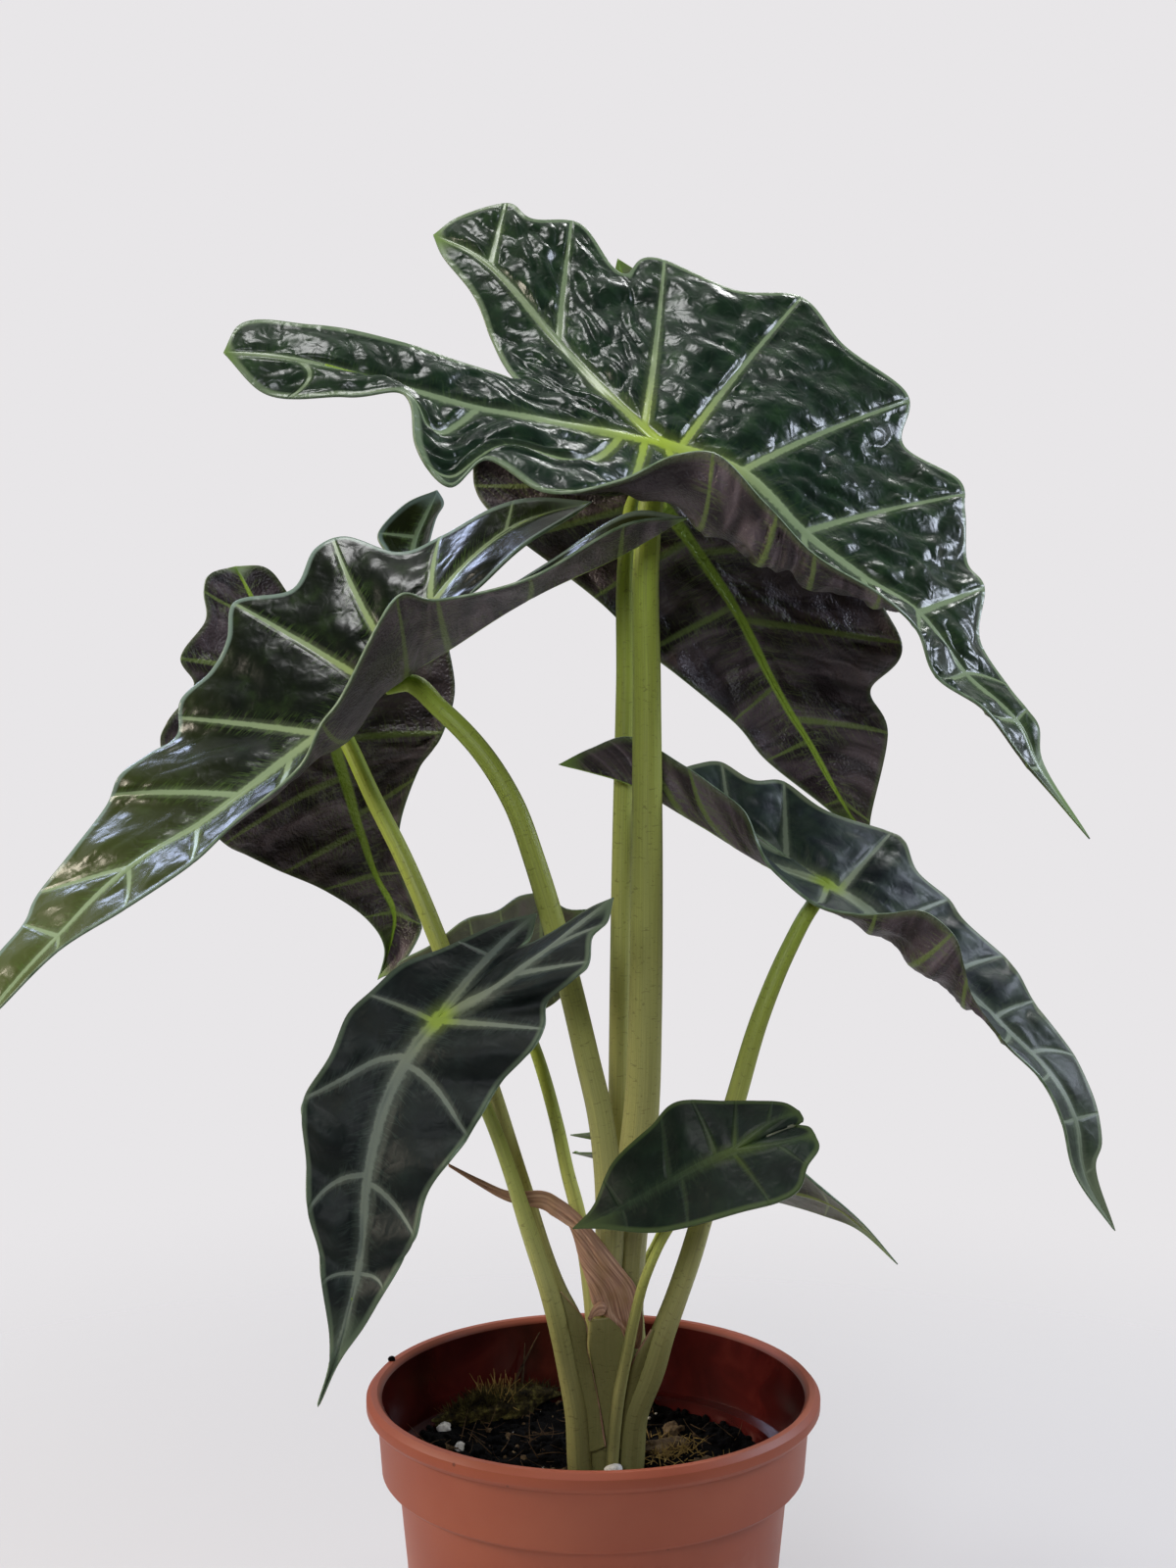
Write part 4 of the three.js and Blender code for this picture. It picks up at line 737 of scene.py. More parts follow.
def finished(piece, materials, nodes=()):
    if materials:
        piece.data.materials.clear()
        for material in materials:
            piece.data.materials.append(material)
    pick(piece)
    bpy.ops.object.shade_smooth()
    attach(piece, "root")
    if nodes:
        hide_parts(*nodes)
    return piece


blade = {
    "spacing": 1.22,  # mm between mesh rows
    "smallSpacing": 0.75,  # how much closer they lie on small leaves
    "thick": 0.6,
    "thinEnd": (0.12, 1.7, 0.5),  # share of it at no width, the share's rise with width, and the least share
    "fullWidth": 18,  # mm of width from the rib to the edge that a blade's forms are full at
    "tipReach": (30, 12),  # mm from the tip that are evened out, and that show which way it faces
    "bead": 0.15,  # how much thicker the margin is
    "puff": 1.5,  # how far the blade bulges between two veins
    "puffSpan": 26,  # mm of width that bulges fully
    "veinBend": 0.18,  # 0 for straight side veins, more for ones that bend towards the tip
    "quilt": 2.3,  # height of the small lumps between the veins
    "quiltSize": (8.2, 10.0),  # their size along and across the side veins
    "ribHalf": 1.85,  # half width of the midrib's pale band at the stalk
    "veinHalf": 1.0,  # half width of a long side vein's band at the rib
    "veinTaper": 0.62,  # how much of it is lost at the edge
    "veinRise": 0.22,  # how far a rib stands above the blade, as a share of its half width
    "keel": 0.72,  # how far it stands below
    "far": 12.0,  # ratio that stands for anywhere away from a vein
}
# how strongly a blade is wrinkled, where it is less than fully
quilting = {"leftLeaf": 0.32, "frontLeaf": 0.2, "frontSmallLeaf": 0.15, "rightLeaf": 0.8, "youngLeaf": 0.4}


def readSide(leaf, side):
    half = leaf[side]
    midrib = numbered(leaf["midrib"])
    lobeRib = numbered([leaf["midrib"][0], *half["lobe"]])
    low, high = 1 - len(midrib), len(half["lobe"])

    def rib(numbers):
        numbers = np.asarray(numbers, float)
        down = along(midrib, -np.minimum(numbers, 0))
        up = along(lobeRib, np.maximum(numbers, 0))
        return np.where(numbers[..., None] <= 0, down, up)

    apex, tip = (low, rib(low)), (high, rib(high))
    outer = [apex, *measured(half["outer"]), tip]
    inner = [(0, place(leaf["notch"])), *measured(half["inner"]), tip]
    still = np.zeros(3)
    folds = [
        (number, spot - (rib(number) + along(outer, number)) / 2)
        for number, spot in measured(half.get("fold", []))
    ]
    veins = [tuple(v) for v in half["veins"]]
    if veins[0][0] > low:
        veins.insert(0, (low, low))
    if veins[-1][0] < high:
        veins.append((high, high))
    return {
        "rib": rib,
        "outer": lambda numbers: along(outer, numbers),
        "inner": lambda numbers: along(inner, numbers),
        "fold": lambda numbers: along([(low, still), *folds, (high, still)], numbers),
        "low": low,
        "high": high,
        "veins": np.array(veins, float),
    }


def rowNumbers(breaks, curves, spacing):
    # numbers from the first break to the last, so close that no curve moves further than the spacing
    numbers = [breaks[0]]
    for a, b in zip(breaks, breaks[1:]):
        between = np.linspace(a, b, 7)
        far = max(np.linalg.norm(np.diff(curve(between), axis=0), axis=1).sum() for curve in curves)
        numbers.extend(np.linspace(a, b, max(2, math.ceil(far / spacing)) + 1)[1:])
    return np.array(numbers)


def nearLine(points, line, halves, reach=8.0):
    # distance from each point to a line, and the line's half width where it is nearest
    distance = np.full(len(points), 1e3, np.float32)
    half = np.full(len(points), halves.min(), np.float32)
    low, high = line.min(0) - reach, line.max(0) + reach
    near = np.flatnonzero(((points > low) & (points < high)).all(1))
    if len(near):
        start, run = line[:-1], np.diff(line, axis=0)
        away = points[near][:, None] - start
        t = np.clip((away * run).sum(2) / np.maximum((run * run).sum(1), 1e-9), 0, 1)
        gaps = np.linalg.norm(away - t[..., None] * run, axis=2)
        k = gaps.argmin(1)
        rows = np.arange(len(near))
        distance[near] = gaps[rows, k]
        half[near] = halves[k] + (halves[k + 1] - halves[k]) * t[rows, k]
    return distance, half


def eased(count):
    # shares from 0 to 1 that lie closer together at both ends
    t = np.linspace(0, 1, count + 1)
    return t - 0.45 * np.sin(2 * np.pi * t) / (2 * np.pi)


def outerEdge(half):
    # the outer edge, by the numbers of the ribs that its side veins start from
    ribs, edges = half["veins"].T
    return lambda numbers: half["outer"](np.interp(numbers, ribs, edges))


def midribRows(sides, spacing):
    low = sides["left"]["low"]
    breaks = {float(n) for n in range(low, 1)}
    for half in sides.values():
        breaks |= {n for n in half["veins"][:, 0] if low < n < 0}
    curves = [sides["left"]["rib"], outerEdge(sides["left"]), outerEdge(sides["right"])]
    return rowNumbers(sorted(breaks), curves, spacing)


def lobeRows(half, spacing):
    breaks = {float(n) for n in range(half["high"] + 1)}
    breaks |= {n for n in half["veins"][:, 0] if 0 < n < half["high"]}
    return rowNumbers(sorted(breaks), [half["rib"], outerEdge(half), half["inner"]], spacing)


def puffed(phase, shares, width):
    # 0 at the ribs and side veins, and up to 1 between them
    swell = (np.sin(np.pi * phase) ** 2)[:, None] * np.sin(np.pi * np.minimum(shares * 1.15, 1))
    return swell * np.minimum(1, width / blade["puffSpan"])


def unit(vectors):
    return vectors / np.maximum(np.linalg.norm(vectors, axis=-1), 1e-6)[..., None]


def outerStrip(name, side, half, ribNumbers, run, spacing):
    # the blade from the ribs to its outer edge, in rows that follow the side veins
    ribs, edges = half["veins"].T
    edgeNumbers = np.interp(ribNumbers, ribs, edges)
    widest = np.linalg.norm(half["rib"](ribNumbers) - half["outer"](edgeNumbers), axis=1).max()
    shares = eased(max(6, math.ceil(widest / spacing)))
    bend = 1 + blade["veinBend"] * np.clip(-ribNumbers, 0, 1)[:, None]
    numbers = ribNumbers[:, None] + (edgeNumbers - ribNumbers)[:, None] * shares**bend
    start, end = half["rib"](numbers), half["outer"](numbers)
    bow = (4 * shares * (1 - shares))[None, :, None]
    points = start + (end - start) * shares[None, :, None] + half["fold"](numbers) * bow
    width = np.linalg.norm(end - start, axis=2)

    k = np.clip(np.searchsorted(ribs, ribNumbers, side="right") - 1, 0, len(ribs) - 2)
    phase = np.clip((ribNumbers - ribs[k]) / (ribs[k + 1] - ribs[k]), 0, 1)
    lean = np.linalg.norm(np.cross(unit(end - start), unit(np.gradient(end, axis=0))), axis=2)
    fields = {
        "puff": puffed(phase, shares, width),
        "wide": np.clip(width / blade["fullWidth"], 0, 1),
        "margin": (1 - shares) * width * np.clip(lean, 0.3, 1),
    }
    mirror = 1 if side == "left" else -1
    uv = np.stack([shares * width * mirror, np.repeat(run[:, None], len(shares), 1)], axis=2)
    return sheetPiece(f"{name}Outer{side}", points, fields, uv, side == "right")


def innerStrip(name, side, half, numbers, run, shares):
    # the blade from the lobe's rib to the notch
    start, end = half["rib"](numbers), half["inner"](numbers)
    points = start[:, None] + (end - start)[:, None] * shares[None, :, None]
    width = np.linalg.norm(end - start, axis=1)[:, None]
    fields = {
        "puff": puffed(numbers % 1, shares, width),
        "wide": np.repeat(np.clip(width / blade["fullWidth"], 0, 1), len(shares), 1),
        "margin": width * (1 - shares) * 0.85,  # the edge leans about 30 degrees from square
    }
    mirror = 1 if side == "left" else -1
    uv = np.stack([-mirror * shares * width, np.repeat(run[:, None], len(shares), 1)], axis=2)
    return sheetPiece(f"{name}Inner{side}", points, fields, uv, side == "left")


def veinLines(side, half, scale):
    # the lines that the ribs and side veins follow, with their half widths
    lines = []
    share = np.linspace(0, 1, 40)
    for ribNumber, edgeNumber in half["veins"]:
        if ribNumber in (half["low"], half["high"]):
            continue
        bend = 1 + blade["veinBend"] * min(1, max(0, -ribNumber))
        at = ribNumber + (edgeNumber - ribNumber) * share**bend
        a, b = half["rib"](at), half["outer"](at)
        line = a + (b - a) * share[:, None] + half["fold"](at) * (4 * share * (1 - share))[:, None]
        long = distancesAlong(line)[-1]
        halves = blade["veinHalf"] * scale**0.5 * (1 - blade["veinTaper"] * share) * min(1, 0.35 + long / 45)
        lines.append(("vein", line, halves))
    ends = [(half["high"], 90, 0.85, 0.25)]  # number, points, and share of the half width at both ends
    if side == "left":
        ends.append((half["low"], 160, 1, 0.28))
    for number, count, first, last in ends:
        halves = blade["ribHalf"] * scale**0.6 * np.linspace(first, last, count)
        lines.append(("rib", half["rib"](np.linspace(0, number, count)), halves))
    return lines


def veinRelief(points, lines):
    # distance to the nearest rib and side vein as a ratio of its half width, and the height of their ridges
    ratios = {kind: np.full(len(points), blade["far"]) for kind in ("rib", "vein")}
    ridge = np.zeros(len(points))
    for kind, line, halves in lines:
        distance, half = nearLine(points, line, halves)
        ratio = distance / half
        ratios[kind] = np.minimum(ratios[kind], ratio)
        height = half * np.clip(1 - ratio**2, 0, 1) ** 0.6
        ridge = np.maximum(ridge, height * (1 if kind == "rib" else 0.6))
    return ratios, ridge


def wrinkles(name, mesh, points, ratios):
    # small lumps that run with the side veins and die out at the ribs and the margin
    spots = np.empty(len(mesh.loops) * 2, np.float32)
    mesh.uv_layers.active.data.foreach_get("uv", spots)
    flow = np.zeros((len(points), 3))
    flow[cornersOf(mesh), :2] = spots.reshape(-1, 2) / np.array(blade["quiltSize"])
    seed = len(name) + points[0, 0]
    flow[:, 0] += 0.55 * lumps(points, 10, seed)
    flow[:, 1] += 0.4 * lumps(points, 9, seed + 5)
    flow[:, 2] = 0.06 * points[:, 2]
    clear = ramp(np.minimum(ratios["rib"], ratios["vein"]), 0.9, 3.2)
    pillows = np.abs(lumps(flow, 1, seed)) ** 0.8 + 0.45 * lumps(points, 8.5, seed)
    return quilting.get(name, 1) * pillows * clear * ramp(readField(mesh, "margin"), 0.3, 4)


def makeBlade(name, leaf, materials):
    scale = leaf.get("size", 1)
    spacing = blade["spacing"] * (blade["smallSpacing"] if scale < 1 else 1)
    sides = {side: readSide(leaf, side) for side in ("left", "right")}
    innerWidth = 0
    for half in sides.values():
        n = np.linspace(0, half["high"], 30)
        innerWidth = max(innerWidth, np.linalg.norm(half["rib"](n) - half["inner"](n), axis=1).max())
    innerShares = np.linspace(0, 1, max(4, math.ceil(innerWidth / spacing)) + 1)
    middle = midribRows(sides, spacing)
    strips, lines = [], []
    for side, half in sides.items():
        lobe = lobeRows(half, spacing)
        ribNumbers = np.concatenate([middle, lobe[1:]])
        run = distancesAlong(half["rib"](ribNumbers))
        strips.append(outerStrip(name, side, half, ribNumbers, run, spacing))
        strips.append(innerStrip(name, side, half, lobe, run[len(middle) - 1 :], innerShares))
        lines.extend(veinLines(side, half, scale))

    whole = joined(strips, name)
    mesh = whole.data
    points = readPlaces(mesh) / mm
    wide = readField(mesh, "wide")
    least, rise, share = blade["thinEnd"]
    body = np.clip(least + rise * wide, share, 1)
    ratios, ridge = veinRelief(points, lines)
    ridge *= ramp(wide, 0.08, 0.3)
    quilt = blade["quilt"] * scale * wrinkles(name, mesh, points, ratios) * wide**2
    lift = blade["puff"] * scale * readField(mesh, "puff") + quilt + blade["veinRise"] * ridge
    normals = readPlaces(mesh, "normals")
    # the thin end is folded shut, so its normals are evened out
    heart = np.linalg.norm(points - place(leaf["midrib"][0]), axis=1)
    toTip = np.linalg.norm(points - points[np.argmax(heart)], axis=1)
    thinEnd = (toTip < blade["tipReach"][0])[:, None] * (1 - ramp(wide, 0.1, 0.3))[:, None]
    normals = unit(normals + (normals[toTip < blade["tipReach"][1]].mean(0) * 3 - normals) * thinEnd)
    lifted = points + normals * (lift + blade["thick"] / 2 * body)[:, None]
    junction = int(heart.argmin())
    junctions[name] = (points[junction].astype(float), normals[junction].astype(float))
    mesh.vertices.foreach_set("co", (lifted * mm).astype(np.float32).ravel())
    mesh.update()

    for key, values in {**ratios, "heart": heart}.items():
        writeField(mesh, key, values)
    mesh.materials.clear()
    for material in materials:
        mesh.materials.append(material)
    bead = blade["bead"] * (1 - ramp(readField(mesh, "margin"), 0.3, 1.6))
    keel = blade["keel"] * ridge * (1 if scale == 1 else 0.8) * ramp(foldedness(mesh), 0.5, 0.9)
    thickened(whole, (blade["thick"] + bead) * body + keel)
    mesh.attributes.remove(mesh.attributes["puff"])
    return finished(whole, [], [f"{nodeOf[name]}_blade"])


def featherLines(tree, uv, vein, rib, reach):
    # hair-fine side veins 1.5 mm apart that leave the ribs and the side veins like a feather's barbs
    strengths = []
    for stretch, distance in (((0.6, 0.1, 1.0), vein), ((0.1, 0.6, 1.0), rib)):
        laid = addNode(tree, "ShaderNodeMapping", {"Vector": uv, "Scale": stretch})
        wave = addNode(tree, "ShaderNodeTexNoise", {"Vector": laid.outputs[0], "Scale": 1.0, "Detail": 2.0})
        off = addNode(tree, "ShaderNodeMath", {0: wave.outputs["Fac"], 1: 0.5}, operation="SUBTRACT")
        apart = addNode(tree, "ShaderNodeMath", {0: off.outputs[0]}, operation="ABSOLUTE")
        line = addNode(
            tree, "ShaderNodeMapRange", {0: apart.outputs[0], 1: 0.035, 2: 0.005, 3: 0.0, 4: 1.0}
        )
        fade = addNode(tree, "ShaderNodeMapRange", {0: distance, 1: 1.0, 2: reach, 3: 1.0, 4: 0.0})
        strengths.append(
            addNode(tree, "ShaderNodeMath", {0: line.outputs[0], 1: fade.outputs[0]}, operation="MULTIPLY")
        )
    first, second = [strength.outputs[0] for strength in strengths]
    return addNode(tree, "ShaderNodeMath", {0: first, 1: second}, operation="MAXIMUM")


def leafTop(name, look):
    # Waxy cuticle over a dark green blade: a shiny film with pale feathered veins under it.
    material, tree, shader = newMaterial(name)
    spot = addNode(tree, "ShaderNodeTexCoord").outputs["Object"]
    uv = addNode(tree, "ShaderNodeUVMap").outputs[0]
    vein, rib, heart, margin, wide = [
        addNode(tree, "ShaderNodeAttribute", attribute_name=key).outputs["Fac"]
        for key in ("vein", "rib", "heart", "margin", "wide")
    ]
    # 6 mm blotches of darker and lighter green
    blotch = addNode(tree, "ShaderNodeTexNoise", {"Vector": spot, "Scale": 170.0, "Detail": 3.0})
    young = addNode(tree, "ShaderNodeValToRGB", {0: blotch.outputs["Fac"]}, stops=look["green"])
    # the blade turns yellower towards its tip
    far = addNode(tree, "ShaderNodeMapRange", {0: heart, 1: 45.0, 2: 115.0, 3: 0.0, 4: look["ripe"]})
    green = addNode(
        tree,
        "ShaderNodeMix",
        {0: far.outputs[0], 6: young.outputs[0], 7: toLinear("#59652f")},
        data_type="RGBA",
    )
    hairs = featherLines(tree, uv, vein, rib, 6.0)
    shown = addNode(tree, "ShaderNodeMath", {0: hairs.outputs[0], 1: look["barbs"]}, operation="MULTIPLY")
    barbed = addNode(
        tree,
        "ShaderNodeMix",
        {0: shown.outputs[0], 6: green.outputs[2], 7: toLinear(look["barb"])},
        data_type="RGBA",
    )
    # the veins' edges fray over 1 mm
    fray = addNode(tree, "ShaderNodeTexNoise", {"Vector": spot, "Scale": 900.0, "Detail": 2.0})
    frayed = addNode(tree, "ShaderNodeMapRange", {0: fray.outputs["Fac"], 3: -0.4, 4: 0.4})
    nearest = addNode(tree, "ShaderNodeMath", {0: vein, 1: rib}, operation="MINIMUM")
    ragged = addNode(tree, "ShaderNodeMath", {0: nearest.outputs[0], 1: frayed.outputs[0]}, operation="ADD")
    isVein = addNode(
        tree, "ShaderNodeMapRange", {0: ragged.outputs[0], 1: 1.35, 2: 0.7, 3: 0.0, 4: look["vein"]}
    )
    halo = addNode(
        tree, "ShaderNodeMapRange", {0: ragged.outputs[0], 1: 2.8, 2: 1.0, 3: 0.0, 4: look["halo"]}
    )
    lit = addNode(tree, "ShaderNodeMath", {0: isVein.outputs[0], 1: halo.outputs[0]}, operation="MAXIMUM")
    warmth = addNode(tree, "ShaderNodeMapRange", {0: heart, 1: 2.0, 2: look["heartReach"], 3: 0.0, 4: 1.0})
    veinColour = addNode(tree, "ShaderNodeValToRGB", {0: warmth.outputs[0]}, stops=look["veinColour"])
    veined = addNode(
        tree,
        "ShaderNodeMix",
        {0: lit.outputs[0], 6: barbed.outputs[2], 7: veinColour.outputs[0]},
        data_type="RGBA",
    )
    rim = addNode(tree, "ShaderNodeMapRange", {0: margin, 1: 1.5, 2: 0.8, 3: 0.0, 4: 0.85})
    edged = addNode(
        tree,
        "ShaderNodeMix",
        {0: rim.outputs[0], 6: veined.outputs[2], 7: toLinear(look["margin"])},
        data_type="RGBA",
    )
    thin = addNode(tree, "ShaderNodeMapRange", {0: wide, 1: 0.12, 2: 0.35, 3: 0.85, 4: 0.0})
    ended = addNode(
        tree,
        "ShaderNodeMix",
        {0: thin.outputs[0], 6: edged.outputs[2], 7: toLinear(look.get("tip", look["margin"]))},
        data_type="RGBA",
    )
    tree.links.new(ended.outputs[2], shader.inputs["Base Color"])
    # crumpled tissue: 5 mm pillows between the finest veins, and 3 mm wrinkles on them
    pillow = addNode(tree, "ShaderNodeTexVoronoi", {"Vector": spot, "Scale": 190.0}, feature="SMOOTH_F1")
    wrinkle = addNode(
        tree, "ShaderNodeTexNoise", {"Vector": spot, "Scale": 330.0, "Detail": 1.0, "Distortion": 0.6}
    )
    relief = addNode(
        tree,
        "ShaderNodeMath",
        {0: pillow.outputs["Distance"], 1: 0.9, 2: wrinkle.outputs["Fac"]},
        operation="MULTIPLY_ADD",
    )
    calm = addNode(tree, "ShaderNodeMapRange", {0: nearest.outputs[0], 1: 0.8, 2: 2.4, 3: 0.1, 4: 1.0})
    height = addNode(
        tree, "ShaderNodeMath", {0: relief.outputs[0], 1: calm.outputs[0]}, operation="MULTIPLY"
    )
    full = addNode(tree, "ShaderNodeMapRange", {0: wide, 1: 0.15, 2: 0.4, 3: 0.0, 4: look["bump"]})
    bump = addNode(
        tree,
        "ShaderNodeBump",
        {"Height": height.outputs[0], "Strength": full.outputs[0], "Distance": 0.0009},
    )
    tree.links.new(bump.outputs[0], shader.inputs["Normal"])
    shader.inputs["IOR"].default_value = 1.45
    shader.inputs["Specular IOR Level"].default_value = look.get("sheen", 0.5)
    # the last thin end of the blade is dull and yellow green
    rough = addNode(tree, "ShaderNodeMapRange", {0: wide, 1: 0.12, 2: 0.4, 3: 0.7, 4: look["roughness"]})
    tree.links.new(rough.outputs[0], shader.inputs["Roughness"])
    return material


def leafUnderside(name, look):
    # The blade's dull underside: purple-brown pigment with paler streaks of painted sheen, green ribs, and a
    # fine green net of veins.
    material, tree, shader = newMaterial(name)
    spot = addNode(tree, "ShaderNodeTexCoord").outputs["Object"]
    uv = addNode(tree, "ShaderNodeUVMap").outputs[0]
    vein, rib, margin, wide = [
        addNode(tree, "ShaderNodeAttribute", attribute_name=key).outputs["Fac"]
        for key in ("vein", "rib", "margin", "wide")
    ]
    # painted sheen: paler streaks 7 mm wide, painted where the hollows catch the light
    laid = addNode(tree, "ShaderNodeMapping", {"Vector": uv, "Scale": (0.045, 0.15, 1.0)})
    streak = addNode(
        tree,
        "ShaderNodeTexNoise",
        {"Vector": laid.outputs[0], "Scale": 1.0, "Detail": 2.0, "Distortion": 0.9},
    )
    base = addNode(tree, "ShaderNodeValToRGB", {0: streak.outputs["Fac"]}, stops=look["base"])
    hairs = featherLines(tree, uv, vein, rib, 11.0)
    shown = addNode(tree, "ShaderNodeMath", {0: hairs.outputs[0], 1: look["barbs"]}, operation="MULTIPLY")
    netted = addNode(
        tree,
        "ShaderNodeMix",
        {0: shown.outputs[0], 6: base.outputs[0], 7: toLinear(look["net"])},
        data_type="RGBA",
    )
    isVein = addNode(tree, "ShaderNodeMapRange", {0: vein, 1: 1.4, 2: 0.6, 3: 0.0, 4: 0.75})
    isRib = addNode(tree, "ShaderNodeMapRange", {0: rib, 1: 1.15, 2: 0.8, 3: 0.0, 4: 1.0})
    veined = addNode(
        tree,
        "ShaderNodeMix",
        {0: isVein.outputs[0], 6: netted.outputs[2], 7: toLinear(look["vein"])},
        data_type="RGBA",
    )
    ribbed = addNode(
        tree,
        "ShaderNodeMix",
        {0: isRib.outputs[0], 6: veined.outputs[2], 7: toLinear(look["rib"])},
        data_type="RGBA",
    )
    rim = addNode(tree, "ShaderNodeMapRange", {0: margin, 1: 1.5, 2: 0.5, 3: 0.0, 4: 0.38})
    edged = addNode(
        tree,
        "ShaderNodeMix",
        {0: rim.outputs[0], 6: ribbed.outputs[2], 7: toLinear(look["margin"])},
        data_type="RGBA",
    )
    thin = addNode(tree, "ShaderNodeMapRange", {0: wide, 1: 0.12, 2: 0.35, 3: 0.9, 4: 0.0})
    ended = addNode(
        tree,
        "ShaderNodeMix",
        {0: thin.outputs[0], 6: edged.outputs[2], 7: toLinear("#6c8a3c")},
        data_type="RGBA",
    )
    tree.links.new(ended.outputs[2], shader.inputs["Base Color"])
    # 4 mm hollows of the quilting and a 0.8 mm grain
    hollow = addNode(tree, "ShaderNodeTexVoronoi", {"Vector": spot, "Scale": 240.0}, feature="SMOOTH_F1")
    grain = addNode(tree, "ShaderNodeTexNoise", {"Vector": spot, "Scale": 1200.0, "Detail": 2.0})
    relief = addNode(
        tree,
        "ShaderNodeMath",
        {0: hollow.outputs["Distance"], 1: 0.9, 2: grain.outputs["Fac"]},
        operation="MULTIPLY_ADD",
    )
    full = addNode(tree, "ShaderNodeMapRange", {0: wide, 1: 0.15, 2: 0.4, 3: 0.0, 4: look["bump"]})
    bump = addNode(
        tree,
        "ShaderNodeBump",
        {"Height": relief.outputs[0], "Strength": full.outputs[0], "Distance": 0.0006},
    )
    tree.links.new(bump.outputs[0], shader.inputs["Normal"])
    shader.inputs["IOR"].default_value = 1.45
    shader.inputs["Roughness"].default_value = 0.4
    return material


def leafMargin(name, colour):
    # The blade's margin: a pale green cord, mottled over 3 mm.
    material, tree, shader = newMaterial(name)
    spot = addNode(tree, "ShaderNodeTexCoord").outputs["Object"]
    cloud = addNode(tree, "ShaderNodeTexNoise", {"Vector": spot, "Scale": 300.0})
    mixed = addNode(
        tree, "ShaderNodeValToRGB", {0: cloud.outputs["Fac"]}, stops=[(0.3, colour[0]), (0.7, colour[1])]
    )
    tree.links.new(mixed.outputs[0], shader.inputs["Base Color"])
    shader.inputs["Roughness"].default_value = 0.35
    return material


glossyTop = leafTop(
    "glossyLeafTop",
    {
        "green": [(0.3, "#102117"), (0.55, "#1b3120"), (0.75, "#284226")],
        "barb": "#56703c",
        "barbs": 0.35,
        "vein": 0.95,
        "halo": 0.22,
        "heartReach": 42.0,
        "veinColour": [(0.0, "#b2cc44"), (0.25, "#a6bc62"), (0.6, "#97ab78"), (1.0, "#889c74")],
        "margin": "#7b8f6c",
        "tip": "#6c8a3c",
        "ripe": 0.08,
        "bump": 0.45,
        "roughness": 0.29,
    },
)
smoothTop = leafTop(
    "smoothLeafTop",
    {
        "green": [(0.3, "#070f06"), (0.55, "#101a0b"), (0.75, "#223216")],
        "barb": "#5c7a38",
        "barbs": 0.5,
        "vein": 0.95,
        "halo": 0.22,
        "heartReach": 42.0,
        "veinColour": [(0.0, "#b4cc5e"), (0.25, "#a9bd74"), (0.6, "#9db181"), (1.0, "#8fa47c")],
        "margin": "#82978a",
        "ripe": 0.75,
        "bump": 0.2,
        "roughness": 0.27,
    },
)
matteTop = leafTop(
    "matteLeafTop",
    {
        "green": [(0.3, "#0b1412"), (0.55, "#121c19"), (0.75, "#1c2824")],
        "barb": "#4a5a50",
        "barbs": 0.4,
        "vein": 0.85,
        "halo": 0.3,
        "heartReach": 22.0,
        "veinColour": [(0.0, "#a6c04c"), (0.2, "#8f9b7c"), (0.6, "#858f7e"), (1.0, "#788376")],
        "margin": "#5a6a54",
        "ripe": 0.0,
        "bump": 0.35,
        "sheen": 0.32,
        "roughness": 0.55,
    },
)
satinTop = leafTop(
    "satinLeafTop",
    {
        "green": [(0.3, "#1a2327"), (0.5, "#2a3833"), (0.75, "#3d4e3f")],
        "barb": "#5d6f52",
        "barbs": 0.35,
        "vein": 0.9,
        "halo": 0.3,
        "heartReach": 22.0,
        "veinColour": [(0.0, "#a8c24a"), (0.2, "#a3b08a"), (0.6, "#9aa78c"), (1.0, "#8d9b82")],
        "margin": "#7d8b6c",
        "ripe": 0.3,
        "bump": 0.25,
        "roughness": 0.5,
    },
)
youngTop = leafTop(
    "youngLeafTop",
    {
        "green": [(0.3, "#0c1810"), (0.55, "#142418"), (0.75, "#1e301f")],
        "barb": "#3c5236",
        "barbs": 0.3,
        "vein": 0.16,
        "halo": 0.1,
        "heartReach": 26.0,
        "veinColour": [(0.0, "#9dba3e"), (0.3, "#7d9356"), (0.6, "#6a8055"), (1.0, "#5b7150")],
        "margin": "#4d5f35",
        "ripe": 0.0,
        "bump": 0.3,
        "sheen": 0.32,
        "roughness": 0.46,
    },
)
purpleUnder = leafUnderside(
    "purpleLeafUnderside",
    {
        # the paler stops give the painted sheen streaks on the hollows
        "base": [(0.34, "#251e1f"), (0.48, "#392f32"), (0.6, "#584c50"), (0.72, "#776b6f")],
        "net": "#6d7c48",
        "barbs": 0.55,
        "vein": "#768a45",
        "rib": "#93b23a",
        "margin": "#677c46",
        "bump": 0.8,
    },
)
greenUnder = leafUnderside(
    "greenLeafUnderside",
    {
        # the paler stops give the painted sheen streaks on the hollows
        "base": [(0.3, "#4c4d40"), (0.55, "#686b58"), (0.75, "#6f6462")],
        "net": "#7d8a5c",
        "barbs": 0.5,
        "vein": "#8b9a66",
        "rib": "#93a356",
        "margin": "#7f8f58",
        "bump": 0.4,
    },
)
margins = leafMargin("paleLeafMargin", ("#5c7350", "#8a9d80"))
darkMargins = leafMargin("darkLeafMargin", ("#384a2c", "#566a3c"))

leafFinish = {
    "crown_leaf": (glossyTop, purpleUnder),
    "back_leaf": (glossyTop, purpleUnder),
    "left_leaf": (smoothTop, purpleUnder),
    "left_back_leaf": (smoothTop, purpleUnder),
    "right_leaf": (satinTop, purpleUnder),
    "front_leaf": (matteTop, purpleUnder),
    "front_small_leaf": (youngTop, greenUnder),
    "back_small_leaf": (glossyTop, greenUnder),
    "young_leaf": (glossyTop, greenUnder),
}


def camel(name):
    head, *rest = name.split("_")
    return head + "".join(word.capitalize() for word in rest)


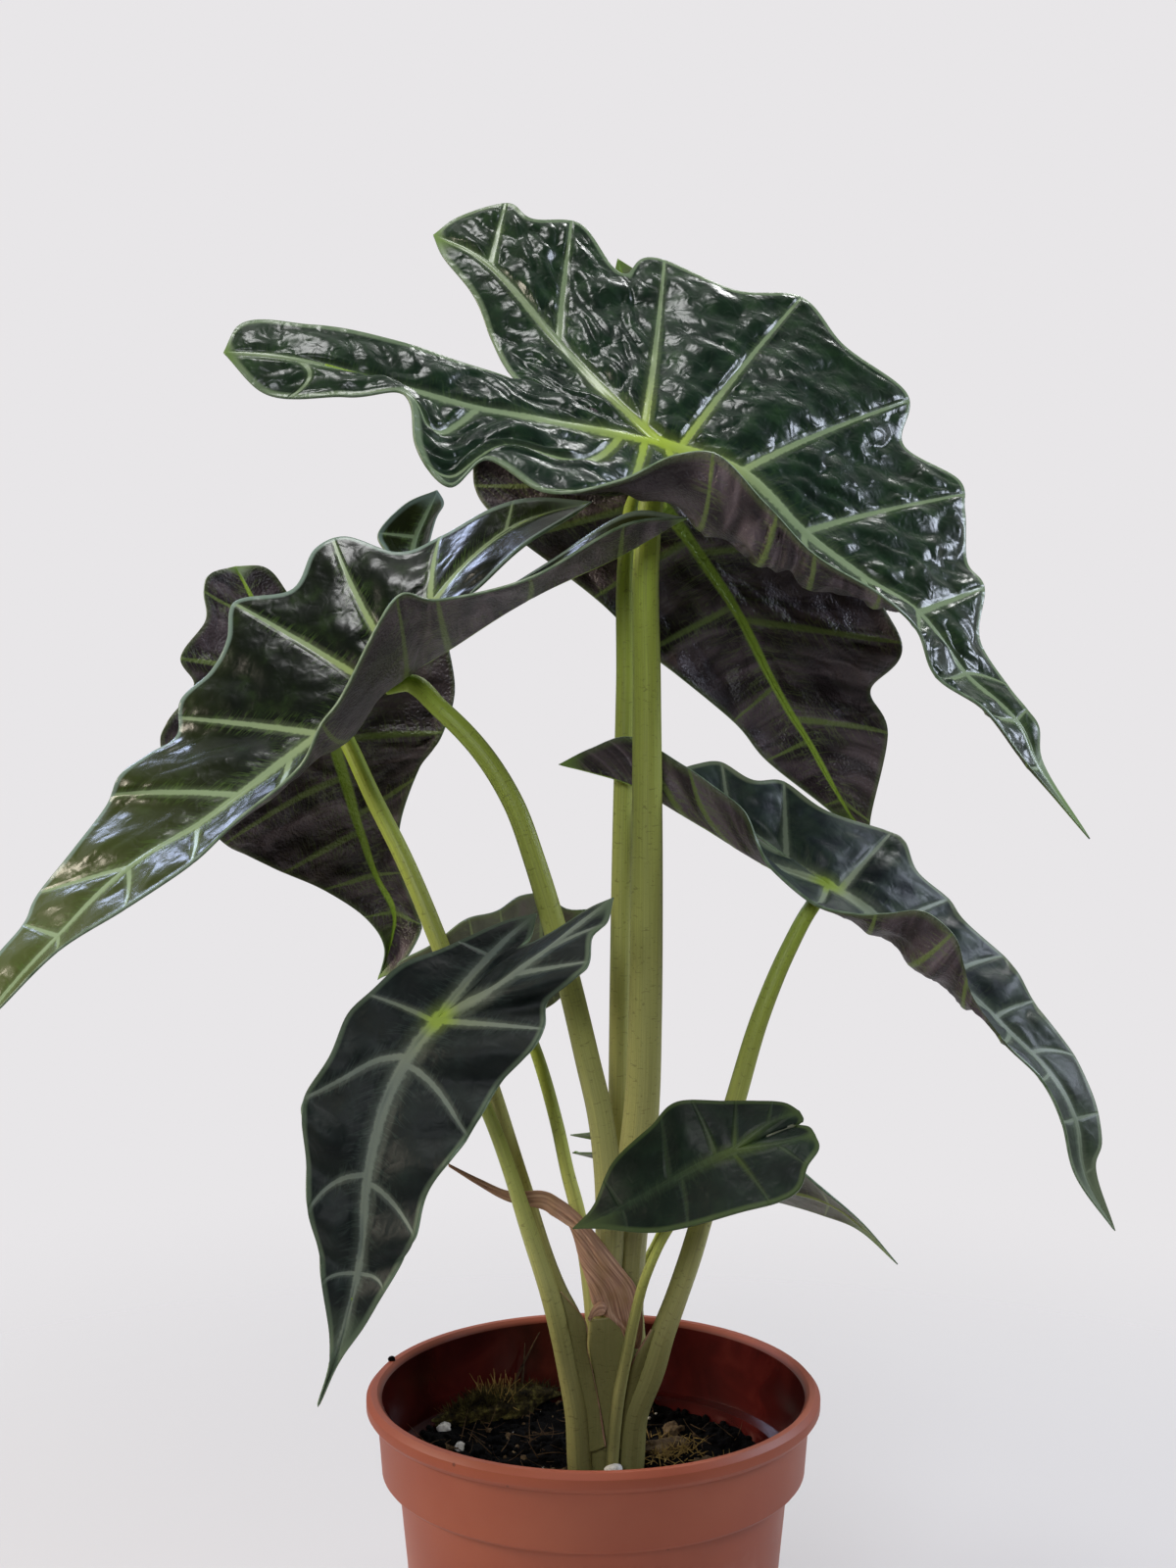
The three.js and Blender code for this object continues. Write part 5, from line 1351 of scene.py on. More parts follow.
junctions = {}
nodeOf = {camel(name): name for name in leaves}
for leafName, leaf in leaves.items():
    top, under = leafFinish[leafName]
    cord = darkMargins if top == youngTop else margins
    made = makeBlade(camel(leafName), leaf, [top, under, cord])
    made.name = made.data.name = camel(leafName) + "Blade"
    print("blade made:", made.name, len(made.data.polygons), "faces")

# stalks

stalk = {
    "step": 1.6,  # mm between mesh rows
    "sides": 40,
    "ridges": 17,
    "ridge": 0.035,  # height of the ridges as a share of the radius
    "soilBottom": 74.0,
    "corm": (3.4, 0),
    "lean": 0.22,  # share of the way to the corm that a stalk's foot goes below the soil
}


def stalkSkin(name):
    # A fleshy leaf stalk: satin skin, green at the top and olive below, with painted shade darkening its foot
    # where the pot shades it, and fine streaks and brown dashes.
    material, tree, shader = newMaterial(name)
    uv = addNode(tree, "ShaderNodeUVMap").outputs[0]
    spot = addNode(tree, "ShaderNodeTexCoord").outputs["Object"]
    fresh = addNode(tree, "ShaderNodeAttribute", attribute_name="fresh").outputs["Fac"]
    skin = addNode(
        tree,
        "ShaderNodeValToRGB",
        {0: fresh},
        stops=[
            # the stops at 0 and 0.08 are painted shade: the stalk's foot is darkened where the pot shades it
            (0.0, "#4f4b2c"), (0.08, "#827d4c"), (0.3, "#b3ae6e"), (0.5, "#b9ba6c"), (0.75, "#b4c254"),
            (1.0, "#b0ce44"),
        ],
    )
    # 0.5 mm streaks along the stalk
    stretched = addNode(tree, "ShaderNodeMapping", {"Vector": uv, "Scale": (2.2, 0.03, 1.0)})
    streak = addNode(
        tree, "ShaderNodeTexNoise", {"Vector": stretched.outputs[0], "Scale": 1.0, "Detail": 3.0}
    )
    shade = addNode(tree, "ShaderNodeMapRange", {0: streak.outputs["Fac"], 1: 0.3, 2: 0.7, 3: 0.0, 4: 0.45})
    streaked = addNode(
        tree,
        "ShaderNodeMix",
        {0: shade.outputs[0], 6: skin.outputs[0], 7: toLinear("#7c7c48")},
        data_type="RGBA",
    )
    # brown dashes 1 to 3 mm long, slanting across the streaks
    slanted = addNode(
        tree, "ShaderNodeMapping", {"Vector": uv, "Rotation": (0, 0, 0.5), "Scale": (0.35, 1.1, 1.0)}
    )
    dash = addNode(
        tree,
        "ShaderNodeTexNoise",
        {"Vector": slanted.outputs[0], "Scale": 1.0, "Detail": 4.0, "Distortion": 1.2},
    )
    dashed = addNode(tree, "ShaderNodeMapRange", {0: dash.outputs["Fac"], 1: 0.6, 2: 0.68, 3: 0.0, 4: 0.38})
    marked = addNode(
        tree,
        "ShaderNodeMix",
        {0: dashed.outputs[0], 6: streaked.outputs[2], 7: toLinear("#4a3d22")},
        data_type="RGBA",
    )
    tree.links.new(marked.outputs[2], shader.inputs["Base Color"])
    # 0.7 mm grain
    grain = addNode(tree, "ShaderNodeTexNoise", {"Vector": spot, "Scale": 1500.0})
    relief = addNode(
        tree, "ShaderNodeMath", {0: streak.outputs["Fac"], 1: grain.outputs["Fac"]}, operation="ADD"
    )
    bump = addNode(
        tree, "ShaderNodeBump", {"Height": relief.outputs[0], "Strength": 0.35, "Distance": 0.0003}
    )
    tree.links.new(bump.outputs[0], shader.inputs["Normal"])
    shader.inputs["IOR"].default_value = 1.42
    shader.inputs["Roughness"].default_value = 0.4
    return material


def tubeRows(course, radii, sides, ridges, ridge):
    # rows of points round a course, closed at both ends
    ahead = np.gradient(course, axis=0)
    ahead /= np.linalg.norm(ahead, axis=1)[:, None]
    across = np.cross((0, 1, 0), ahead)
    across /= np.linalg.norm(across, axis=1)[:, None]
    out = np.cross(ahead, across)
    angle = np.linspace(0, 2 * np.pi, sides + 1)
    wave = 1 + ridge * np.cos(ridges * angle)
    reach = radii[:, None] * wave
    points = (
        course[:, None]
        + across[:, None] * (reach * np.cos(angle))[..., None]
        + out[:, None] * (reach * np.sin(angle))[..., None]
    )
    first, last = np.repeat(course[:1, None], sides + 1, 1), np.repeat(course[-1:, None], sides + 1, 1)
    points = np.concatenate([first, points, last])
    run = distancesAlong(course)
    run = np.concatenate([run[:1], run, run[-1:]])
    uv = np.stack(np.meshgrid(angle * radii.max(), run), axis=2)
    return points, uv, run


def makeStalk(name, leaf):
    # from under the soil, leaning in towards the corm, to a little way under the blade's midrib
    knots = [place(p) for p in leaf["stalk"]]
    radii = [p[3] for p in leaf["stalk"]]
    foot = knots[0].copy()
    foot[:2] += (np.array(stalk["corm"]) - foot[:2]) * stalk["lean"]
    foot[2] = stalk["soilBottom"]
    junction, normal = junctions[camel(name)]
    ahead = place(leaf["midrib"][1]) - place(leaf["midrib"][0])
    ahead /= np.linalg.norm(ahead)
    top = radii[-1]
    # its top runs into the rib's underside and a little way along it
    last = junction - normal * top * 0.85
    beyond = junction + ahead * top * 2.6 - normal * top * 0.25
    knots = [foot, *knots[:-1], last, beyond]
    radii = [radii[0] * 0.92, *radii[:-1], top, top * 0.35]
    reach = distancesAlong(np.array(knots))
    numbers = np.linspace(0, reach[-1], max(30, int(reach[-1] / stalk["step"])))
    course = along(list(zip(reach, knots)), numbers)
    width = along(list(zip(reach, [(r,) for r in radii])), numbers)[:, 0]
    points, uv, run = tubeRows(course, width, stalk["sides"], stalk["ridges"], stalk["ridge"])
    # 0 at the foot and 1 at the top: the skin's colour follows it, and so does the painted shade at the foot
    fresh = np.repeat((run / run[-1])[:, None], points.shape[1], 1)
    return joined([sheetPiece(name, points, {"fresh": fresh}, uv)], name)


skin = stalkSkin("satinStalkSkin")
for leafName, leaf in leaves.items():
    piece = makeStalk(leafName, leaf)
    piece.name = piece.data.name = camel(leafName) + "Stalk"
    finished(piece, [skin], [f"{leafName}_stalk"])
print("stalks made")

# pot

pot = {
    "sides": 128,
    "outside": [  # radius and height, from the underside up to the lip
        (41, 0), (43.1, 0.9), (44, 3), (51.8, 85.7), (55.4, 85.7), (56, 86.5), (57.2, 102.5),
        (59.2, 102.5), (60, 103.7), (60, 106.1), (58.8, 107.5), (57.2, 107.5),
    ],
    "inside": [(55.9, 106.1), (54.7, 87), (50.5, 87), (42.7, 3), (41.2, 2)],
    "holes": [(8, 33, 3.6), (5, 17, 3.0)],  # count, ring radius and radius
}


def facedOut():
    # turns all faces of the piece in edit mode outwards, and leaves edit mode
    bpy.ops.mesh.select_all(action="SELECT")
    bpy.ops.mesh.normals_make_consistent(inside=False)
    bpy.ops.object.mode_set(mode="OBJECT")


def turnedShell(name, outline, sides):
    # a ring drawn up through the outline's radii and heights, closed at both ends
    radius, height = outline[0]
    deselect()
    bpy.ops.mesh.primitive_circle_add(
        vertices=sides, radius=radius * mm, location=(0, 0, height * mm), fill_type="NGON"
    )
    shell = bpy.context.object
    shell.name = shell.data.name = name
    bpy.ops.object.transform_apply(location=True)
    bpy.ops.object.mode_set(mode="EDIT")
    bpy.ops.mesh.select_all(action="SELECT")
    bpy.ops.mesh.flip_normals()
    for nextRadius, nextHeight in outline[1:]:
        bpy.ops.mesh.extrude_region_move(
            TRANSFORM_OT_translate={"value": (0, 0, (nextHeight - height) * mm)}
        )
        bpy.ops.transform.resize(
            value=(nextRadius / radius, nextRadius / radius, 1), center_override=(0, 0, nextHeight * mm)
        )
        radius, height = nextRadius, nextHeight
    facedOut()
    return shell


def pottedPlastic():
    # Injection-moulded terracotta polypropylene: satin, with a 0.4 mm mould grain, dust and water marks, and
    # painted shade on the inner wall.
    material, tree, shader = newMaterial("terracottaPolypropylene")
    spot = addNode(tree, "ShaderNodeTexCoord").outputs["Object"]
    split = addNode(tree, "ShaderNodeSeparateXYZ", {0: spot})
    cloud = addNode(tree, "ShaderNodeTexNoise", {"Vector": spot, "Scale": 22.0, "Detail": 4.0})
    base = addNode(
        tree,
        "ShaderNodeValToRGB",
        {0: cloud.outputs["Fac"]},
        stops=[(0.3, "#97492f"), (0.5, "#9f4f34"), (0.7, "#a5573b")],
    )
    # painted shade: the inner wall below the rim is coloured dark, as the pot shades it, and is glossier
    out = addNode(tree, "ShaderNodeVectorMath", {0: spot, 1: (1, 1, 0)}, operation="MULTIPLY")
    reach = addNode(tree, "ShaderNodeVectorMath", {0: out.outputs[0]}, operation="LENGTH").outputs["Value"]
    # the band leans out 0.075 mm a millimetre, and its wall's middle would be 48.9 mm out at the pot's foot
    lean = addNode(
        tree, "ShaderNodeMath", {0: split.outputs["Z"], 1: -0.075, 2: reach}, operation="MULTIPLY_ADD"
    )
    within = addNode(tree, "ShaderNodeMapRange", {0: lean.outputs[0], 1: 0.0491, 2: 0.0487, 3: 0.0, 4: 1.0})
    lowIn = addNode(
        tree, "ShaderNodeMapRange", {0: split.outputs["Z"], 1: 0.1071, 2: 0.1059, 3: 0.0, 4: 1.0}
    )
    high = addNode(
        tree, "ShaderNodeMapRange", {0: split.outputs["Z"], 1: 0.0862, 2: 0.0868, 3: 0.0, 4: 1.0}
    )
    shadedBandWall = addNode(tree, "ShaderNodeMath", {0: within.outputs[0], 1: lowIn.outputs[0]}, operation="MULTIPLY")
    upper = addNode(tree, "ShaderNodeMath", {0: shadedBandWall.outputs[0], 1: high.outputs[0]}, operation="MULTIPLY")
    # 17 mm mottling in the dark colour of the painted shade
    shadeMottle = addNode(
        tree, "ShaderNodeTexNoise", {"Vector": spot, "Scale": 60.0, "Detail": 5.0, "Distortion": 0.6}
    )
    paintedShadeColour = addNode(
        tree,
        "ShaderNodeValToRGB",
        {0: shadeMottle.outputs["Fac"]},
        stops=[(0.35, "#300c0a"), (0.55, "#47120f"), (0.75, "#5a2019")],
    )
    # below the band the inside is within 50 mm at the top, and that wall gets the painted shade too
    slim = addNode(
        tree, "ShaderNodeMath", {0: split.outputs["Z"], 1: -0.094, 2: reach}, operation="MULTIPLY_ADD"
    )
    deep = addNode(tree, "ShaderNodeMapRange", {0: slim.outputs[0], 1: 0.0433, 2: 0.0429, 3: 0.0, 4: 1.0})
    raised = addNode(
        tree, "ShaderNodeMapRange", {0: split.outputs["Z"], 1: 0.002, 2: 0.0024, 3: 0.0, 4: 1.0}
    )
    lower = addNode(
        tree, "ShaderNodeMath", {0: deep.outputs[0], 1: raised.outputs[0]}, operation="MULTIPLY"
    )
    inner = addNode(tree, "ShaderNodeMath", {0: upper.outputs[0], 1: lower.outputs[0]}, operation="MAXIMUM")
    shadedWalls = addNode(
        tree,
        "ShaderNodeMix",
        {0: inner.outputs[0], 6: base.outputs[0], 7: paintedShadeColour.outputs[0]},
        data_type="RGBA",
    )
    # dried water marks and dust in 10 mm patches, on the right of the body below the band
    patch = addNode(
        tree, "ShaderNodeTexNoise", {"Vector": spot, "Scale": 95.0, "Detail": 3.0, "Distortion": 0.8}
    )
    mark = addNode(tree, "ShaderNodeMapRange", {0: patch.outputs["Fac"], 1: 0.5, 2: 0.68, 3: 0.0, 4: 0.13})
    side = addNode(tree, "ShaderNodeMapRange", {0: split.outputs["X"], 1: 0.026, 2: 0.036, 3: 0.0, 4: 1.0})
    below = addNode(
        tree, "ShaderNodeMapRange", {0: split.outputs["Z"], 1: 0.0857, 2: 0.0847, 3: 0.0, 4: 1.0}
    )
    where = addNode(tree, "ShaderNodeMath", {0: side.outputs[0], 1: below.outputs[0]}, operation="MULTIPLY")
    dust = addNode(tree, "ShaderNodeMath", {0: mark.outputs[0], 1: where.outputs[0]}, operation="MULTIPLY")
    dusty = addNode(
        tree,
        "ShaderNodeMix",
        {0: dust.outputs[0], 6: shadedWalls.outputs[2], 7: toLinear("#b98a7c")},
        data_type="RGBA",
    )
    # dark specks up to 1 mm wide, one to each 10 mm
    speck = addNode(tree, "ShaderNodeTexVoronoi", {"Vector": spot, "Scale": 95.0})
    isSpeck = addNode(
        tree, "ShaderNodeMapRange", {0: speck.outputs["Distance"], 1: 0.06, 2: 0.03, 3: 0.0, 4: 0.6}
    )
    specked = addNode(
        tree,
        "ShaderNodeMix",
        {0: isSpeck.outputs[0], 6: dusty.outputs[2], 7: toLinear("#3d221a")},
        data_type="RGBA",
    )
    tree.links.new(specked.outputs[2], shader.inputs["Base Color"])
    gloss = addNode(tree, "ShaderNodeMapRange", {0: inner.outputs[0], 3: 0.5, 4: 0.22})
    tree.links.new(gloss.outputs[0], shader.inputs["Roughness"])
    grain = addNode(tree, "ShaderNodeTexNoise", {"Vector": spot, "Scale": 2500.0, "Detail": 2.0})
    bump = addNode(
        tree, "ShaderNodeBump", {"Height": grain.outputs["Fac"], "Strength": 0.25, "Distance": 0.0001}
    )
    tree.links.new(bump.outputs[0], shader.inputs["Normal"])
    shader.inputs["IOR"].default_value = 1.49
    return material


def makePot():
    shell = turnedShell("nurseryPot", pot["outside"] + pot["inside"], pot["sides"])
    for count, ring, radius in pot["holes"]:
        for i in range(count):
            angle = 2 * math.pi * (i + 0.5) / count
            deselect()
            bpy.ops.mesh.primitive_cylinder_add(
                vertices=24,
                radius=radius * mm,
                depth=8 * mm,
                location=(ring * math.cos(angle) * mm, ring * math.sin(angle) * mm, 1 * mm),
            )
            drill = bpy.context.object
            applied(shell, "BOOLEAN", object=drill, operation="DIFFERENCE", solver="EXACT")
            bpy.data.objects.remove(drill)
    applied(shell, "BEVEL", width=0.45 * mm, segments=3, limit_method="ANGLE", angle_limit=math.radians(25))
    finished(shell, [pottedPlastic()], ["pot"])
    pick(shell)
    bpy.ops.object.shade_smooth_by_angle(angle=math.radians(32))


makePot()
print("pot made")

# potting mix

mix = {
    "height": 84.6,  # at the pot's axis
    "slope": 0.045,  # the mix lies higher on the left
    "rough": 0.9,  # height of its clods
    "wide": 54.2,  # radius above the pot's ledge
    "narrow": 50.1,  # radius below it
    "ledge": 87.0,
    "walls": [(49.6, 79), (45.6, 40), (42.0, 3.2), (41.4, 2.4), (0, 2.4)],  # radius and height in the pot
    "rings": 58,
    "columns": 321,
    "fibres": 260,
    "straws": (70, 150),  # on the moss and on the right
    "shoots": 1500,
}
# name, how many, least and most size, how far out they lie, and slot
crumbs = [
    ("peatCrumbs", 900, 0.5, 1.9, 50.5, "potting_mix"),
    ("barkCrumbs", 90, 0.5, 1.5, 47, "bark"),
    ("perliteCrumbs", 26, 0.35, 0.9, 47, "perlite"),
]
moss = {"at": (-26.7, 34.5), "size": (39, 11, 8), "turn": 38}


def soilHeight(x, y):
    clods = np.sin(x / 5.1 + 0.7) * np.cos(y / 4.3) + 0.6 * np.sin(x / 2.9 - y / 3.7 + 1.9)
    return mix["height"] - mix["slope"] * x + mix["rough"] * clods


def soilTop(x, y):
    points = np.stack([x, y, np.zeros_like(x)], axis=-1)
    fine = 0.9 * np.abs(lumps(points, 5.2, 1)) + 0.7 * lumps(points, 2.1, 2) + 0.35 * lumps(points, 1.0, 3)
    return soilHeight(x, y) + fine


def roughSkin(name, stops, scale, roughness, strength, distance):
    # dry crumbly matter: a mottled colour and a rough relief of the same grain
    material, tree, shader = newMaterial(name)
    spot = addNode(tree, "ShaderNodeTexCoord").outputs["Object"]
    cloud = addNode(
        tree, "ShaderNodeTexNoise", {"Vector": spot, "Scale": scale, "Detail": 6.0, "Roughness": 0.7}
    )
    colour = addNode(tree, "ShaderNodeValToRGB", {0: cloud.outputs["Fac"]}, stops=stops)
    tree.links.new(colour.outputs[0], shader.inputs["Base Color"])
    grain = addNode(tree, "ShaderNodeTexNoise", {"Vector": spot, "Scale": scale * 3.0, "Detail": 4.0})
    bump = addNode(
        tree, "ShaderNodeBump", {"Height": grain.outputs["Fac"], "Strength": strength, "Distance": distance}
    )
    tree.links.new(bump.outputs[0], shader.inputs["Normal"])
    shader.inputs["Specular IOR Level"].default_value = 0.12
    shader.inputs["Roughness"].default_value = roughness
    return material


# Colours, pattern scale per metre, roughness, and the strength and depth in metres of the relief.
roughLooks = {
    # wet peat in 2.4 mm clods, its dark colour darkened to near-black as painted shade in the pot
    "shadedDarkPeat": ([(0.3, "#010101"), (0.55, "#030202"), (0.75, "#100a06")], 420.0, 1.0, 0.9, 0.0008),
    # brown roots and yellow straw, mottled over 3.3 mm
    "dryRootFibre": ([(0.3, "#2b2016"), (0.6, "#5a4630"), (0.8, "#77603f")], 300.0, 0.85, 0.4, 0.0003),
    "dryStraw": ([(0.3, "#5f4c26"), (0.55, "#9c8148"), (0.75, "#c2a86c")], 300.0, 0.8, 0.3, 0.0003),
    # brown moss with olive and straw-coloured spots of 2.9 mm
    "driedMoss": (
        [(0.35, "#0c0905"), (0.5, "#2e2713"), (0.62, "#544e26"), (0.75, "#8c7b48")], 350.0, 0.95, 0.5, 0.0004
    ),
    # grey-brown bark, mottled over 3.8 mm
    "weatheredBark": ([(0.3, "#2c2218"), (0.5, "#5e4c36"), (0.75, "#8a7758")], 260.0, 0.9, 0.9, 0.0009),
    # off-white perlite with 1.1 mm cells
    "foamedPerlite": ([(0.3, "#a9a49a"), (0.5, "#d3d0c8"), (0.75, "#ecebe6")], 900.0, 0.8, 0.7, 0.0004),
    # the corm's brown skin, mottled over 5 mm
    "cormSkin": ([(0.3, "#3d2a1c"), (0.55, "#6a4a34"), (0.75, "#8c6a4c")], 200.0, 0.8, 0.6, 0.0006),
}
roughSkins = {name: roughSkin(name, *look) for name, look in roughLooks.items()}
litterSkins = {
    "potting_mix": roughSkins["shadedDarkPeat"],
    "bark": roughSkins["weatheredBark"],
    "perlite": roughSkins["foamedPerlite"],
    "moss": roughSkins["driedMoss"],
}


def makeMix():
    angle = np.linspace(0, 2 * np.pi, mix["columns"])
    rimHeight = soilHeight(52 * np.cos(angle), 52 * np.sin(angle))
    rim = mix["narrow"] + (mix["wide"] - mix["narrow"]) * ramp(rimHeight, mix["ledge"], mix["ledge"] + 0.9)
    share = np.linspace(0, 1, mix["rings"]) ** 0.8
    x = share[:, None] * rim * np.cos(angle)
    y = share[:, None] * rim * np.sin(angle)
    top = np.stack([x, y, soilTop(x, y)], axis=2)
    top[:, -1] = top[:, 0]
    top[0] = top[0].mean(0)
    # the sides go down inside the pot to its floor
    walls = [top[-1] - (0, 0, 1.2)]
    for radius, height in mix["walls"]:
        around = radius * np.cos(angle), radius * np.sin(angle), np.full(len(angle), height)
        walls.append(np.stack(around, axis=1))
    points = np.concatenate([top, np.array(walls)])
    body = joined([sheetPiece("pottingMix", points, turned=True)], "pottingMix")
    bpy.ops.object.mode_set(mode="EDIT")
    facedOut()
    finished(body, [litterSkins["potting_mix"]], ["potting_mix"])


def template(kind, **settings):
    # the points and faces of a primitive, which is then removed
    deselect()
    getattr(bpy.ops.mesh, kind)(**settings)
    shape = bpy.context.object
    points = np.array([v.co for v in shape.data.vertices])
    faces = [tuple(p.vertices) for p in shape.data.polygons]
    bpy.data.objects.remove(shape)
    return points, faces


def manyPiece(name, copies, faces):
    # one piece from many closed copies that share their faces' order
    count = len(copies[0])
    points = np.concatenate(copies) * mm
    whole = [tuple(i * count + v for v in face) for i in range(len(copies)) for face in faces]
    mesh = bpy.data.meshes.new(name)
    mesh.from_pydata(points.tolist(), [], whole)
    mesh.update()
    piece = bpy.data.objects.new(name, mesh)
    bpy.context.collection.objects.link(piece)
    return piece


def turnAbout(points, axis, angle):
    axis = np.asarray(axis, float) / np.linalg.norm(axis)
    c, s = math.cos(angle), math.sin(angle)
    return points * c + np.cross(axis, points) * s + np.outer(points @ axis, axis) * (1 - c)


def anyWay(draw):
    return (draw.uniform(-1, 1), draw.uniform(-1, 1), draw.uniform(0.2, 1))


def inSoil(draw, reach):
    radius = reach * math.sqrt(draw.random())
    angle = draw.uniform(0, 2 * math.pi)
    return radius * math.cos(angle), radius * math.sin(angle)


def onSoil(x, y, lift=0.0):
    return np.array((x, y, float(soilTop(np.array(x), np.array(y))) + lift))


def makeCrumbs():
    draw = random.Random(7)
    ball, faces = template("primitive_uv_sphere_add", segments=7, ring_count=5, radius=1)
    for name, count, low, high, reach, slot in crumbs:
        copies = []
        for _ in range(count):
            x, y = inSoil(draw, reach)
            size = draw.uniform(low, high) * draw.uniform(0.6, 1)
            bumpy = ball * (1 + 0.3 * lumps(ball + draw.uniform(0, 50), 0.8))[:, None]
            bumpy = bumpy * size * np.array((1, draw.uniform(0.6, 1), draw.uniform(0.5, 0.9)))
            bumpy = turnAbout(bumpy, anyWay(draw), draw.uniform(0, 6))
            copies.append(bumpy + onSoil(x, y, size * 0.25))
        if name == "peatCrumbs":
            # a crumb stuck to the rim on the left
            bumpy = ball * (1 + 0.2 * lumps(ball, 0.7))[:, None]
            copies.append(bumpy * (1.1, 0.9, 1.0) + (-55.1, 19, 107.8))
        if name == "perliteCrumbs":
            # a chunk that lies on the front one and shows above the rim
            bumpy = ball * (1 + 0.25 * lumps(ball, 0.6))[:, None]
            copies.append(bumpy * (2.7, 1.9, 1.8) + (5.4, -14.2, 90.0))
        finished(manyPiece(name, copies, faces), [litterSkins[slot]])


def strand(base, way, length, bend, width, draw, steps=6, sides=4):
    # a tapered strand of closed rings that bends as it goes
    way = np.asarray(way, float) / np.linalg.norm(way)
    turn = np.asarray(anyWay(draw))
    points, rings = np.asarray(base, float), []
    for step in range(steps + 1):
        across = np.cross(way, turn)
        across /= max(np.linalg.norm(across), 1e-6)
        other = np.cross(way, across)
        taper = width * (1 - 0.75 * step / steps)
        for side in range(sides):
            angle = 2 * math.pi * side / sides
            rings.append(points + (across * math.cos(angle) + other * math.sin(angle)) * taper)
        points = points + way * length / steps
        way = way + bend * turn / steps
        way /= np.linalg.norm(way)
    return np.array(rings)


def strandFaces(steps=6, sides=4):
    faces = [tuple(range(sides))[::-1], tuple(range(steps * sides, (steps + 1) * sides))]
    for step in range(steps):
        for side in range(sides):
            a, b = step * sides + side, step * sides + (side + 1) % sides
            faces.append((a, b, b + sides, a + sides))
    return faces


def makeFibres():
    draw = random.Random(21)
    faces = strandFaces()
    roots, straws = [], []
    for _ in range(mix["fibres"]):
        way = (draw.uniform(-1, 1), draw.uniform(-1, 1), draw.uniform(-0.05, 0.35))
        base = onSoil(*inSoil(draw, 46), 0.3)
        long = draw.uniform(3, 11)
        roots.append(strand(base, way, long, draw.uniform(-1.4, 1.4), draw.uniform(0.1, 0.24), draw))
    # dry roots that climb the pot's inside at the back
    roots.append(strand((-23, 46.5, 90), (0.5, 0.35, 1.0), 17, 0.25, 0.5, draw))
    roots.append(strand((-20.5, 47, 89), (0.1, 0.3, 1.0), 13, 0.25, 0.5, draw))
    # a tuft of straw on the moss, a long straw beside it and short ones on the right
    tuft, short = mix["straws"]
    for _ in range(tuft):
        base = np.array((draw.gauss(-27.5, 2.6), draw.gauss(34.5, 1.6), 89.5))
        way = (draw.gauss(0, 0.55), draw.gauss(-0.1, 0.4), 1)
        straws.append(strand(base, way, draw.uniform(3.5, 10), draw.uniform(-0.9, 0.9), 0.16, draw))
    straws.append(strand((-30, 34.5, 92.5), (0.9, -0.4, -0.35), 11, 0.1, 0.34, draw))
    for _ in range(short):
        base = onSoil(draw.gauss(21, 6), draw.gauss(9, 6), 1.2)
        way = (draw.uniform(-1, 1), draw.uniform(-1, 1), draw.uniform(0, 0.8))
        straws.append(strand(base, way, draw.uniform(2, 6), draw.uniform(-1.5, 1.5), 0.17, draw))
    finished(manyPiece("rootFibres", roots, faces), [roughSkins["dryRootFibre"]])
    finished(manyPiece("strawFibres", straws, faces), [roughSkins["dryStraw"]])


def lumpPiece(node, spot, size, turn, rough, detail, slot):
    ball, faces = template("primitive_ico_sphere_add", subdivisions=detail, radius=0.5)
    coarse = 1 + rough * np.sin(9 * ball[:, 0] + 7 * ball[:, 1] + 5 * ball[:, 2] + spot[0])
    fine = 1 + 0.13 * lumps(ball, 0.17, spot[0]) + 0.07 * lumps(ball, 0.07, spot[1])
    points = turnAbout(ball * (coarse * fine)[:, None] * np.array(size), (0, 0, 1), math.radians(turn))
    points += (*spot, soilHeight(*spot) + size[2] * 0.3)
    finished(manyPiece(camel(node), [points], faces), [litterSkins[slot]], [node])


def makeLitter():
    for node, spot, size, turn in (
        ("bark_chip_1", (20, 14), (13, 7, 4), 25),
        ("bark_chip_2", (31, 4), (9, 6, 3.6), -40),
        ("bark_chip_3", (22, 28), (8, 5, 3.4), 80),
    ):
        lumpPiece(node, spot, size, turn, 0.12, 5, "bark")
    for node, spot, size, turn in (
        ("perlite_1", (5.2, -13.5), (6.5, 4.6, 5.4), 15),
        ("perlite_2", (-41, 20), (4, 3.4, 3), 40),
        ("perlite_3", (-36, 9), (3.4, 3, 2.8), 70),
    ):
        lumpPiece(node, spot, size, turn, 0.12, 4, "perlite")
    lumpPiece("moss_clump", moss["at"], moss["size"], moss["turn"], 0.1, 5, "moss")


def makeShoots():
    # the moss's shoots, on an oval dome a little smaller than its clump
    draw = random.Random(3)
    copies = []
    turn = math.radians(moss["turn"])
    for _ in range(mix["shoots"]):
        lengthwise, crosswise = draw.uniform(-1, 1), draw.uniform(-1, 1)
        if lengthwise**2 + crosswise**2 > 1:
            continue
        dx, dy = lengthwise * 19, crosswise * 5.2
        x = moss["at"][0] + dx * math.cos(turn) - dy * math.sin(turn)
        y = moss["at"][1] + dx * math.sin(turn) + dy * math.cos(turn)
        dome = 2.4 + 3.4 * math.sqrt(1 - lengthwise**2 - crosswise**2)
        height = soilHeight(x, y) + dome
        way = (draw.uniform(-1, 1), draw.uniform(-1, 1), draw.uniform(0.1, 1.2))
        long = draw.uniform(1.5, 4.5)
        copies.append(strand((x, y, height), way, long, draw.uniform(-1.5, 1.5), 0.16, draw, 4, 3))
    finished(manyPiece("mossShoots", copies, strandFaces(4, 3)), [litterSkins["moss"]])


makeMix()
makeCrumbs()
makeFibres()
makeLitter()
makeShoots()
print("potting mix and litter made")

# dried sheath

